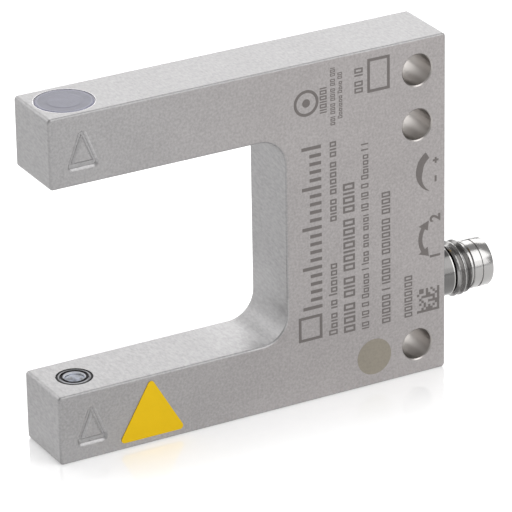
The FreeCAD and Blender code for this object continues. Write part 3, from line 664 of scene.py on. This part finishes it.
class FORK_OT_dress_housing(bpy.types.Operator):
    """Give the housing and its back cover their blasted steel, with bright bored holes."""

    bl_idname = "fork.dress_housing"
    bl_label = "Housing"

    def execute(self, context):
        finish = context.scene.fork_finish
        dress("housing", self.blasted("Blasted Housing", finish, True))
        dress("back_cover", self.blasted("Blasted Cover", finish, False))
        return {"FINISHED"}

    def blasted(self, name, finish, is_body):
        """Blasted steel, on the body with its bright bores and with softer light painted into its corners,
        engraving and window seat.
        """
        stretch, evenness, bored_roughness = (1, 0.42, 1), 0.85, 0.34
        material, tree, shader = new_material(name, Metallic=1.0)
        grain = place_group(tree, "Surface Grain", {
            "Vector": vector_calc(tree, "MULTIPLY", object_place(tree), stretch),
            "Color": solid(finish.steel), "Roughness": finish.roughness, "Grain": finish.grain,
            "Contrast": 0.6, "Cloud": finish.cloud, "Cloud Contrast": 0.16,
        })
        color, height = grain["Color"], grain["Height"]
        roughness = blend_numbers(tree, evenness, grain["Roughness"], finish.roughness)
        if is_body:
            color = self.lit(tree, color)
            mask = self.bores(tree)
            color = blend_colours(tree, mask, color, solid(finish.bored))
            roughness = blend_numbers(tree, mask, roughness, bored_roughness)
            height = calc(tree, "MULTIPLY", height, calc(tree, "SUBTRACT", 1, mask))
        tree.links.new(color, shader.inputs["Base Color"])
        tree.links.new(roughness, shader.inputs["Roughness"])
        bump(tree, shader, height, finish.grain_depth)
        return material

    def lit(self, tree, color):
        """Warm the front face's rear with painted warm light, and lighten the engraving, the slot's corner
        and the window's seat with painted light, the engraving partly as brighter cut steel.
        """
        # Painted warm light: the front face is warmed towards its rear.
        warm_light_tint, face_depth = (1.01, 0.97, 0.955), 0.02 * MM
        warm = vector_calc(tree, "MULTIPLY", color, warm_light_tint)
        across, inward, up = coordinates(tree, object_place(tree, LOW))
        in_front = calc(tree, "LESS_THAN", inward, face_depth)
        rearward = ramp(tree, across, start=-10 * MM, end=50 * MM)
        color = blend_colours(tree, calc(tree, "MULTIPLY", in_front, rearward), color, warm)
        color = tinted(tree, color, self.groove_tint(tree, across, inward, up))
        color = tinted(tree, color, self.corner_painted_light(tree, across, up))
        return tinted(tree, color, self.seat_painted_light(tree))

    def groove_tint(self, tree, across, inward, up):
        """How much lighter the engraved triangles' walls and the rim of the slot's lower corner are: the
        walls partly as brighter cut steel and partly as painted light, the rim as painted light against the
        shade in the corner.
        """
        # Painted light: the rim, and in part the engraved walls, are lightened against the shade that falls
        # in them.
        bar_tint, flank_tint, rim_painted_light = 1.2, 1.45, 1.15
        level = calc(tree, "MODULO", up, ARM_PITCH)
        below_face = within(tree, inward, 0.005 * MM, 0.335 * MM)
        walls = calc(tree, "MULTIPLY", in_field(tree, across, level, ENGRAVED_FIELD), below_face)
        rim = calc(tree, "MULTIPLY", in_field(tree, across, up, SLOT_CORNER), below_face)
        wall_tint = ramp(tree, level, 3.1 * MM, 3.3 * MM, first=bar_tint, last=flank_tint)
        return blend_numbers(tree, rim, blend_numbers(tree, walls, 1, wall_tint), rim_painted_light)

    def corner_painted_light(self, tree, across, up):
        """How much lighter the slot's lower corner is where it runs out, and darker in its middle, as painted
        light and painted shade.
        """
        # Painted light and shade across the slot's lower corner: lighter at its ends, darker in its middle.
        middle_shade, end_light, slack, reach = 0.95, 1.13, 0.01, 12
        back = calc(tree, "SUBTRACT", SLOT_DEPTH, across)
        rise = calc(tree, "SUBTRACT", up, ARM_HEIGHT)
        away = calc(tree, "ABSOLUTE", calc(tree, "SUBTRACT", rise, back))
        tint = ramp(tree, away, 0.5 * MM, 3 * MM, first=middle_shade, last=end_light)
        inside = in_field(tree, back, rise, (-slack, reach + slack, -slack, reach + slack))
        fade = ramp(tree, away, start=6 * MM, end=11.5 * MM, first=1, last=0)
        return blend_numbers(tree, calc(tree, "MULTIPLY", inside, fade), 1, tint)

    def seat_painted_light(self, tree):
        """How much lighter the seat of the indicator window is, as painted light against the shade of its
        recess.
        """
        # Painted light: the window's seat is lifted against the shade in its recess.
        radius, depth, tint = 4.17 * MM, 1.5 * MM, 2.2
        place = from_axis(tree, (BEAM.x, BEAM.y, HIGH.z))
        near = calc(tree, "LESS_THAN", place["Radius"], radius)
        high = calc(tree, "GREATER_THAN", place["Along"], -depth)
        return blend_numbers(tree, calc(tree, "MULTIPLY", near, high), 1, tint)

    def bores(self, tree):
        """One inside the three mounting holes and their chamfers."""
        radius, mask = 2.42 * MM, 0
        for level in HOLE_LEVELS:
            away = from_axis(tree, (HIGH.x - HOLE_INSET, 0, LOW.z + level), FACING_FRONT)["Radius"]
            mask = calc(tree, "MAXIMUM", mask, calc(tree, "LESS_THAN", away, radius))
        return mask


class FORK_OT_dress_optics(bpy.types.Operator):
    """Give the optics in both arms their metal, rubber and glass."""

    bl_idname = "fork.dress_optics"
    bl_label = "Optics"

    def execute(self, context):
        finish = context.scene.fork_finish
        rubber = moulded("Optic Seal Rubber", (0.008, 0.0075, 0.0085), roughness=0.6, Specular_IOR_Level=0.15)
        finishes = {
            "tube": self.tube_steel(), "lens_ring": self.pale_ring(), "baffle": self.baffle_shade(),
            "seal": rubber, "lens": self.lens_glass(finish),
        }
        for side in ("emitter", "receiver"):
            for part, material in finishes.items():
                dress(f"{side}_{part}", material)
        return {"FINISHED"}

    def painted_shade_ring(self, tree):
        """One in the ring of painted shade between lens and tube, which sits a little off the beam."""
        # Painted shade: the dark gap round the lens, shifted towards the rear where its shade falls.
        away = from_axis(tree, (BEAM.x + 0.13 * MM, BEAM.y + 0.28 * MM, 0))["Radius"]
        return band(tree, away, inner=1.62, outer=1.92, soft=0.06)

    def tube_steel(self):
        """Turned steel with painted shade in the dark ring and at its outer edge."""
        steel, painted_shade_tint = (0.115, 0.113, 0.12), 0.06
        material = turned_metal("Turned Tube", steel, (BEAM.x, BEAM.y, 0), ALONG_Z, roughness=0.34)
        tree = material.node_tree
        # Painted shade at the tube's outer edge, off the beam like the ring.
        away = from_axis(tree, (BEAM.x + 0.05 * MM, BEAM.y + 0.12 * MM, 0))["Radius"]
        edge = ramp(tree, away, start=2.19 * MM, end=2.23 * MM)
        black = calc(tree, "MAXIMUM", self.painted_shade_ring(tree), edge)
        tint_material(material, blend_numbers(tree, black, 1, painted_shade_tint))
        return material

    def pale_ring(self):
        """A pale inner wall, painted light against the shade that falls on it, below a darker edge, with
        painted shade in the dark ring.
        """
        pale, dimmer, dark = (0.86, 0.88, 0.92), (0.42, 0.43, 0.46), (0.02, 0.02, 0.022)
        material, tree, shader = new_material("Pale Lens Ring", Roughness=0.45, Specular_IOR_Level=0.2)
        lower_edge, upper_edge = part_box("emitter_lens_ring")[1].z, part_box("receiver_lens_ring")[0].z
        level, slack = coordinates(tree, object_place(tree))[2], 0.01 * MM
        is_edge = within(tree, level, lower_edge - slack, upper_edge + slack)
        # Painted light on the inner wall, which stands in shade.
        color = blend_colours(tree, is_edge, solid(pale), solid(dimmer))
        # Painted shade in the ring between lens and tube.
        color = blend_colours(tree, self.painted_shade_ring(tree), color, solid(dark))
        tree.links.new(color, shader.inputs["Base Color"])
        return material

    def baffle_shade(self):
        """Pale beside the lens and towards the front, black between as painted shade."""
        pale, black = (0.40, 0.40, 0.43), (0.006, 0.006, 0.0065)
        material, tree, shader = new_material("Two Tone Baffle", Roughness=0.5, Specular_IOR_Level=0.05)
        # Painted shade: the baffle is black in the ring off the beam, where shade falls.
        color = blend_colours(tree, self.painted_shade_ring(tree), solid(pale), solid(black))
        tree.links.new(color, shader.inputs["Base Color"])
        return material

    def lens_glass(self, finish):
        """Coated glass over painted, cloudy reflections, with painted shade in the dark ring."""
        between_clouds, in_ring = 0.12, 0.1
        material, tree, shader = new_material("Coated Lens", IOR=1.5, Roughness=0.3)
        # Painted reflections: cloudy patches of the lens colour, much darker between them.
        clouds = noise(tree, object_place(tree), 0.8 * MM, detail=3, roughness=0.6)
        factor = add_node(tree, "ShaderNodeMapRange", inputs={
            "Value": clouds, "From Min": 0.35, "From Max": 0.65,
        }).outputs[0]
        color = blend_colours(tree, factor, solid(finish.glass, between_clouds), solid(finish.glass))
        # Painted shade in the ring between lens and tube.
        color = blend_colours(tree, self.painted_shade_ring(tree), color, solid(finish.glass, in_ring))
        tree.links.new(color, shader.inputs["Base Color"])
        return material


class FORK_OT_dress_window(bpy.types.Operator):
    """Give the indicator window its smoky plastic, and its seal its rubber."""

    bl_idname = "fork.dress_window"
    bl_label = "Indicator window"

    # The shallow well, the rim and the edge, whose lift is painted light against the shade of its recess:
    # inner and outer radius, softness and how much lighter it is
    BANDS = ((0, 2.05, 0.25, 1.12), (3.55, 3.72, 0.06, 1.4), (3.84, 4.1, 0.04, 2.1))

    def execute(self, context):
        finish = context.scene.fork_finish
        material, tree, shader = new_material(
            "Smoky Window", IOR=1.45, Roughness=0.38, Specular_IOR_Level=0.4
        )
        radius = from_axis(tree, (BEAM.x, BEAM.y, 0))["Radius"]
        color = solid(finish.window)
        for inner, outer, soft, lift in self.BANDS:
            mask = band(tree, radius, inner, outer, soft)
            color = blend_colours(tree, mask, color, solid(finish.window, lift))
        grain = place_group(tree, "Surface Grain", {
            "Vector": object_place(tree), "Color": color, "Roughness": 0.35, "Grain": 0.25 * MM,
            "Contrast": 0.3, "Cloud": 1.6 * MM, "Cloud Contrast": 0.5,
        })
        tree.links.new(grain["Color"], shader.inputs["Base Color"])
        step = ramp(tree, radius, start=2.15 * MM, end=2.65 * MM, first=1, last=0)
        grain_share, step_height = 0.03, 0.04 * MM
        bump(tree, shader, calc(tree, "MULTIPLY_ADD", grain["Height"], grain_share, step), step_height)
        dress("indicator_window", material)
        # The seal's pale colour is painted light against the shade of its recess.
        dress("window_seal", moulded("Window Seal Rubber", (0.68, 0.67, 0.71), roughness=0.5))
        return {"FINISHED"}


class FORK_OT_dress_adjusters(bpy.types.Operator):
    """Give the two adjusting screws their brass, and their rings and trimmers their plastic."""

    bl_idname = "fork.dress_adjusters"
    bl_label = "Adjusters"

    def execute(self, context):
        finish = context.scene.fork_finish
        for name, trimmer in (("sensitivity", "sensitivity_trimmer"), ("mode", "mode_switch")):
            low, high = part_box(f"{name}_screw")
            centre = (0, (low.y + high.y) / 2, (low.z + high.z) / 2)
            dress(f"{name}_screw", turned_metal(f"Brass {name.title()}", finish.brass, centre, ALONG_X))
            dress(f"{name}_ring", moulded(f"Ring Rubber {name.title()}", (0.02, 0.02, 0.02), roughness=0.6))
            dress(trimmer, moulded(f"Trimmer Blue {name.title()}", (0.04, 0.12, 0.42), roughness=0.35))
        return {"FINISHED"}


class FORK_OT_dress_inside(bpy.types.Operator):
    """Give the boards, chips, lamps and wires inside the housing their finishes."""

    bl_idname = "fork.dress_inside"
    bl_label = "Electronics"

    def execute(self, context):
        board = moulded("Solder Mask", (0.02, 0.17, 0.07), roughness=0.4, grain=0.4, contrast=0.5)
        chip = moulded("Chip Epoxy", (0.02, 0.02, 0.021), roughness=0.6)
        wire = moulded("Ribbon Jacket", (0.42, 0.42, 0.43), roughness=0.5)
        gold = moulded("Diode Plating", (0.75, 0.56, 0.25), roughness=0.25, Metallic=1.0)
        finishes = {
            board: ("main_board", "emitter_board", "receiver_board"),
            chip: ("controller_chip", "output_driver", "photodiode"),
            wire: ("emitter_ribbon", "receiver_ribbon"),
            gold: ("laser_diode",),
            moulded("Tantalum Body", (0.70, 0.42, 0.06), roughness=0.45): ("supply_capacitor",),
            moulded("Green Lamp", (0.25, 0.70, 0.25), roughness=0.2): ("power_lamp",),
            moulded("Yellow Lamp", (0.85, 0.62, 0.10), roughness=0.2): ("output_lamp",),
        }
        for material, nodes in finishes.items():
            for node in nodes:
                dress(node, material)
        return {"FINISHED"}


class FORK_OT_build_plug(bpy.types.Operator):
    """Turn the plug's steel shell with its cut thread, and finish the insert and pins inside it."""

    bl_idname = "fork.build_plug"
    bl_label = "Threaded plug"

    def execute(self, context):
        finish, plug = context.scene.fork_finish, context.scene.fork_plug
        shell = start_piece("threaded_plug_shell", self.shell_steel(finish, plug))
        outline = self.outline(plug)
        draw_line([PLUG_AXIS + Vector((along, 0, radius)) for along, radius in outline])
        self.divide_crest(shell, plug)
        bpy.ops.mesh.select_all(action="SELECT")
        bpy.ops.mesh.spin(
            steps=plug.steps, angle=2 * math.pi, center=PLUG_AXIS, axis=(1, 0, 0), use_auto_merge=False
        )
        bpy.ops.mesh.select_all(action="SELECT")
        bpy.ops.mesh.remove_doubles(threshold=0.001 * MM)
        self.cut_thread(shell, plug)
        bpy.ops.mesh.select_all(action="SELECT")
        bpy.ops.mesh.normals_make_consistent(inside=False)
        bpy.ops.object.mode_set(mode="OBJECT")
        crease = math.radians(32)
        bpy.ops.object.shade_smooth_by_angle(angle=crease)
        finish_piece(shell, "turned_steel", "plug_shell")
        dress("plug_insert", moulded("Plug Insert", (0.018, 0.018, 0.019), roughness=0.5))
        dress("plug_ring", moulded("Plug Ring Rubber", (0.02, 0.02, 0.02), roughness=0.6))
        gold = moulded("Contact Gold", (0.88, 0.62, 0.22), roughness=0.22, Metallic=1.0)
        for number in (1, 2, 3):
            dress(f"plug_pin_{number}", gold)
        return {"FINISHED"}

    def shell_steel(self, finish, plug):
        """Turned steel, darker on most of the neck, with painted shade in the roots, and darker late in the
        thread.
        """
        material = turned_metal(
            "Turned Plug Sleeve", finish.bright, PLUG_AXIS, ALONG_X, roughness=0.2, feed=0.09
        )
        tree = material.node_tree
        place = from_axis(tree, PLUG_AXIS, ALONG_X)
        along, edge, root = place["Along"], 0.05 * MM, plug.undercut / 2
        neck_foot = plug.neck_end + 0.1 * MM
        dimmer, bright, dark, early_tone, late_tone, nose = 0.38, 1.15, 0.1, 0.86, 0.62, 0.96
        neck = ramp(tree, along, plug.neck_end - 0.16 * MM, plug.neck_end - 0.11 * MM, dimmer, bright)
        thread_tone = ramp(tree, along, 4.3 * MM, 4.4 * MM, first=early_tone, last=late_tone)
        # Painted shade: the thread's roots and reliefs are darkened towards their depth.
        relief = ramp(tree, place["Radius"], root, root + 0.2 * MM, dark, 1)
        past_neck = ramp(tree, along, neck_foot, neck_foot + edge)
        past_thread = ramp(tree, along, plug.thread_end - edge, plug.thread_end)
        shade = blend_numbers(tree, past_neck, neck, calc(tree, "MULTIPLY", relief, thread_tone))
        tint_material(material, blend_numbers(tree, past_thread, shade, nose))
        return material

    def outline(self, plug):
        """The shell's section as places along the axis and radii, from its back round to its back."""
        back, tip = PLUG_LOW.x - HIGH.x, PLUG_HIGH.x - HIGH.x
        low, neck, nose, crest = plug.undercut / 2, plug.neck / 2, plug.nose / 2, plug.crest / 2
        shoulder, corner, bulge, nose_bevel = crest - plug.chamfer, 0.25 * MM, 0.075 * MM, 0.1 * MM
        neck_foot = plug.neck_end + plug.neck_bevel
        groove_end, groove = plug.groove_start + plug.groove_width, nose - plug.groove_depth
        return [
            (back, plug.bore / 2), (back, neck), (plug.neck_end, neck), (neck_foot, neck - plug.neck_bevel),
            (neck_foot, low), (plug.thread_start, low), (plug.thread_start, shoulder),
            (plug.thread_end, shoulder), (plug.thread_end, low), (plug.nose_start, low),
            (plug.nose_start, nose - nose_bevel), (plug.nose_start + nose_bevel, nose),
            (plug.groove_start, nose), (plug.groove_start, groove), (groove_end, groove), (groove_end, nose),
            (tip - corner, nose), (tip - bulge, nose - bulge), (tip, nose - corner),
            (tip, plug.socket / 2), (plug.socket_floor, plug.socket / 2), (plug.socket_floor, plug.bore / 2),
            (back, plug.bore / 2),
        ]

    def divide_crest(self, shell, plug):
        """Divide the crest's edge finely enough to hold the thread's flanks."""
        row, slack = 0.03 * MM, 0.001 * MM
        mesh = bmesh.from_edit_mesh(shell.data)
        bpy.ops.mesh.select_all(action="DESELECT")
        ends = (plug.thread_start, plug.thread_end)
        for edge in mesh.edges:
            span = sorted(vertex.co.x - PLUG_AXIS.x for vertex in edge.verts)
            if all(abs(place - end) < slack for place, end in zip(span, ends)):
                edge.select_set(True)
        bmesh.update_edit_mesh(shell.data)
        bpy.ops.mesh.subdivide(number_cuts=round((plug.thread_end - plug.thread_start) / row))

    def cut_thread(self, shell, plug):
        """Move the band's points onto a 60 degree thread that runs out in a chamfer at both ends."""
        mesh = bmesh.from_edit_mesh(shell.data)
        land, depth, slope = plug.pitch / 8, 0.54 * plug.pitch, math.tan(math.radians(60))
        crest, first, slack = plug.crest / 2, plug.thread_start + plug.lead, 0.0001 * MM
        root, shoulder, band_width = crest - depth, crest - plug.chamfer, 0.01 * MM
        for vertex in mesh.verts:
            along = vertex.co.x - PLUG_AXIS.x
            across, up = vertex.co.y - PLUG_AXIS.y, vertex.co.z - PLUG_AXIS.z
            radius = math.hypot(across, up)
            inside = plug.thread_start - slack <= along <= plug.thread_end + slack
            if not inside or abs(radius - shoulder) > band_width:
                continue
            turn = math.atan2(up, across) / (2 * math.pi)
            from_crest = abs(((along - first) / plug.pitch - turn) % 1 - 0.5) * plug.pitch
            wanted = crest - max(0, from_crest - land / 2) * slope
            to_end = min(along - plug.thread_start, plug.thread_end - along)
            wanted = max(root, min(wanted, shoulder + to_end))
            vertex.co.y = PLUG_AXIS.y + across * wanted / radius
            vertex.co.z = PLUG_AXIS.z + up * wanted / radius
        bmesh.update_edit_mesh(shell.data)


class FORK_OT_etch_rows(bpy.types.Operator):
    """Etch plain rows of small blocks on the front face."""

    bl_idname = "fork.etch_rows"
    bl_label = "Etched rows"

    def execute(self, context):
        marks = context.scene.fork_marks
        piece = start_piece("etched_rows", etched_material(context))
        for row in ROWS:
            self.add_row(marks, *row)
        bpy.ops.mesh.reveal(select=True)
        bpy.ops.mesh.bevel(offset=marks.corner, segments=2, affect="VERTICES")
        raise_marks(marks.thickness)
        finish_piece(piece, "blasted_steel")
        return {"FINISHED"}

    def add_row(self, marks, left, right, low, high, pattern):
        """Lay out one row of frames and bars, and add each kind as one shape and its copies."""
        height, stroke = right - left, marks.stroke_share * (right - left)
        gap, space, broad, drop = 0.17 * height, 0.2 * height, 0.58 * height, 0.26 * height
        widths = {" ": space, "I": stroke, "i": stroke, "O": broad, "o": broad}
        spots, level = {}, low
        for mark in itertools.cycle(pattern):
            if level + widths[mark] > high:
                break
            if mark != " ":
                spots.setdefault(mark, []).append(level)
            level += widths[mark] + gap
        for mark, levels in spots.items():
            top = left if mark.isupper() else left + drop
            self.add_mark(top, right, levels[0], levels[0] + widths[mark], mark in "Oo" and stroke)
            for before, after in zip(levels, levels[1:]):
                bpy.ops.mesh.duplicate_move(TRANSFORM_OT_translate={"value": (0, 0, (after - before) * MM)})
            bpy.ops.mesh.select_all(action="SELECT")
            bpy.ops.mesh.hide()

    def add_mark(self, left, right, low, high, stroke):
        """Add a bar, or a frame if a stroke is given."""
        add_block(left, right, low, high)
        if stroke:
            bpy.ops.mesh.inset(thickness=stroke * MM)
            bpy.ops.mesh.delete(type="FACE")
            bpy.ops.mesh.select_all(action="SELECT")


class FORK_OT_etch_signs(bpy.types.Operator):
    """Etch a plain scale, a ring, two frames and a block of small squares on the front face."""

    bl_idname = "fork.etch_signs"
    bl_label = "Etched signs"

    def execute(self, context):
        marks = context.scene.fork_marks
        stroke, ring_radius, dot_radius = marks.stroke / MM, 1.9, 0.6
        piece = start_piece("etched_signs", etched_material(context))
        self.add_scale(marks)
        add_frame(*BLANK_FIELD, stroke)
        add_frame(*SQUARE_SIGN, stroke)
        self.add_checker()
        add_ring(RING_SIGN, ring_radius, stroke)
        add_disc(RING_SIGN, dot_radius, steps=24)
        raise_marks(marks.thickness)
        finish_piece(piece, "blasted_steel")
        return {"FINISHED"}

    def add_scale(self, marks):
        """Add a scale with a long tick at every fifth place."""
        left, right, low, high = SCALE_FIELD
        tick, short_left, long_step = marks.tick / MM, left + 0.4 * (right - left), 5
        pitch = (high - low - tick) / (marks.tick_count - 1)
        for i in range(marks.tick_count):
            start = low + i * pitch
            add_block(short_left if i % long_step else left, right, start, start + tick)

    def add_checker(self):
        """Add a field of small squares between two solid sides."""
        left, right, low, high = CHECKER_FIELD
        cells, filled, seed = 10, 0.45, 5
        chance, cell = random.Random(seed), (right - left) / cells
        add_block(right - cell, right, low, high)
        add_block(left, right - cell, low, low + cell)
        for column in range(cells - 1):
            for row in range(1, cells):
                if chance.random() < filled:
                    x, z = left + column * cell, low + row * cell
                    add_block(x, x + cell, z, z + cell)


class FORK_OT_etch_dials(bpy.types.Operator):
    """Etch the marks beside the two adjusting screws."""

    bl_idname = "fork.etch_dials"
    bl_label = "Etched dial marks"

    def execute(self, context):
        marks = context.scene.fork_marks
        piece = start_piece("etched_dials", etched_material(context))
        self.add_wedge(piece)
        self.add_arrow()
        self.add_bar(PLUS_SIGN, True)
        self.add_bar(MINUS_SIGN, False)
        raise_marks(marks.thickness)
        finish_piece(piece, "blasted_steel")
        for number, place in NUMBERS.items():
            self.add_number(context, number, place)
        return {"FINISHED"}

    def add_bar(self, centre, crossed):
        """Add the bar of a minus, and the two halves of the bar that makes it a plus."""
        (across, up), thin, reach = centre, 0.15, 0.45
        add_block(across - thin, across + thin, up - reach, up + reach)
        if crossed:
            add_block(across - reach, across - thin, up - thin, up + thin)
            add_block(across + thin, across + reach, up - thin, up + thin)

    def add_wedge(self, piece):
        """Add the crescent that grows from its lower to its upper end."""
        pivot = on_front(*SENSE_ARC)
        outer, start, end, thick, thin, taper_start = 3.3, 122, 248, 1.1, 0.08, 0.45
        add_arc(SENSE_ARC, outer - thick, outer, start, end)
        bpy.ops.mesh.select_linked()
        mesh = bmesh.from_edit_mesh(piece.data)
        for vertex in mesh.verts:
            if not vertex.select:
                continue
            arm = vertex.co - pivot
            turned = (math.degrees(math.atan2(arm.z, arm.x)) % 360 - start) / (end - start)
            width = thick + (thin - thick) * max(0, turned - taper_start) / (1 - taper_start)
            if arm.length < (outer - thick / 2) * MM:
                vertex.co = pivot + arm.normalized() * (outer - width) * MM
        bmesh.update_edit_mesh(piece.data)

    def add_arrow(self):
        """Add the double-ended arrow that bends round the mode screw."""
        middle, half_width, reach, head_reach, head_width = 3.3, 0.32, 30, 54, 0.85
        add_arc(MODE_ARC, middle - half_width, middle + half_width, 180 - reach, 180 + reach)
        for side in (-1, 1):
            root, tip = (
                Vector((math.cos(math.radians(180 + side * turn)), math.sin(math.radians(180 + side * turn))))
                for turn in (reach, head_reach)
            )
            centre = Vector(MODE_ARC)
            inner, outer = centre + root * (middle - head_width), centre + root * (middle + head_width)
            add_shape([inner, outer, centre + tip * middle])

    def add_number(self, context, number, place):
        """Add a number that reads upwards."""
        marks, size_per_height = context.scene.fork_marks, 1.38
        bpy.ops.object.select_all(action="DESELECT")
        bpy.ops.object.text_add()
        text = context.object
        text.data.body = number
        text.data.size = size_per_height * marks.number_height
        text.data.offset = marks.boldness
        text.data.align_x = "CENTER"
        text.data.align_y = "CENTER"
        text.data.extrude = marks.thickness / 2
        bpy.ops.object.convert(target="MESH")
        piece = context.object
        piece.name = f"etched_number_{number}"
        turn = Matrix(((0, -1, 0), (0, 0, -1), (1, 0, 0))).to_4x4()
        middle = on_front(*place) - Vector((0, marks.thickness / 2, 0))
        piece.matrix_world = Matrix.Translation(middle) @ turn
        bpy.ops.object.transform_apply(location=True, rotation=True, scale=True)
        piece.data.materials.append(etched_material(context))
        finish_piece(piece, "blasted_steel")


class FORK_OT_tint_spot(bpy.types.Operator):
    """Tint a plain round spot near the lower hole."""

    bl_idname = "fork.tint_spot"
    bl_label = "Tinted spot"

    def execute(self, context):
        finish, marks = context.scene.fork_finish, context.scene.fork_marks
        radius = 2.68
        values = {"Grain": finish.grain, "Contrast": 0.4, "Cloud": 3 * MM, "Cloud Contrast": 0.12}
        material = patterned(
            "Tinted Spot", "Surface Grain", finish.spot, 0.5, finish.grain_depth, values, Metallic=1.0
        )
        piece = start_piece("tinted_spot", material)
        add_disc(ROUND_SPOT, radius, steps=72)
        raise_marks(marks.thickness)
        finish_piece(piece, "blasted_steel")
        return {"FINISHED"}


class FORK_OT_dress_marker(bpy.types.Operator):
    """Give the triangular marker its yellow film."""

    bl_idname = "fork.dress_marker"
    bl_label = "Marker"

    def execute(self, context):
        finish = context.scene.fork_finish
        look = {"roughness": 0.5, "grain": 0.3, "contrast": 0.05, "Specular_IOR_Level": 0.15}
        dress("marker_label", moulded("Yellow Film", finish.film, **look))
        return {"FINISHED"}


PIECES = (
    FORK_OT_set_stage,
    FORK_OT_dress_housing,
    FORK_OT_dress_optics,
    FORK_OT_dress_window,
    FORK_OT_dress_adjusters,
    FORK_OT_dress_inside,
    FORK_OT_build_plug,
    FORK_OT_etch_rows,
    FORK_OT_etch_signs,
    FORK_OT_etch_dials,
    FORK_OT_tint_spot,
    FORK_OT_dress_marker,
)

SETTINGS = {
    "fork_finish": ForkFinish,
    "fork_marks": ForkMarks,
    "fork_plug": ForkPlug,
    "fork_stage": ForkStage,
}


class FORK_PT_panel(bpy.types.Panel):
    """Lists the pieces of the fork and what can be changed on them."""

    bl_idname = "FORK_PT_panel"
    bl_label = "Fork light barrier"
    bl_space_type = "VIEW_3D"
    bl_region_type = "UI"
    bl_category = "Fork"

    def draw(self, context):
        for name, kind in SETTINGS.items():
            box = self.layout.box()
            for setting in kind.__annotations__:
                box.prop(getattr(context.scene, name), setting)
        for piece in PIECES:
            self.layout.operator(piece.bl_idname)


def register():
    """Register the classes and hang the settings on the scene."""
    for name, kind in SETTINGS.items():
        bpy.utils.register_class(kind)
        setattr(bpy.types.Scene, name, PointerProperty(type=kind))
    for piece in PIECES:
        bpy.utils.register_class(piece)
    bpy.utils.register_class(FORK_PT_panel)


def unregister():
    """Undo what register does."""
    bpy.utils.unregister_class(FORK_PT_panel)
    for piece in reversed(PIECES):
        bpy.utils.unregister_class(piece)
    for name, kind in SETTINGS.items():
        delattr(bpy.types.Scene, name)
        bpy.utils.unregister_class(kind)


def main():
    """Build every piece in order."""
    register()
    for piece in PIECES:
        category, name = piece.bl_idname.split(".")
        getattr(getattr(bpy.ops, category), name)()


if __name__ == "__main__":
    main()
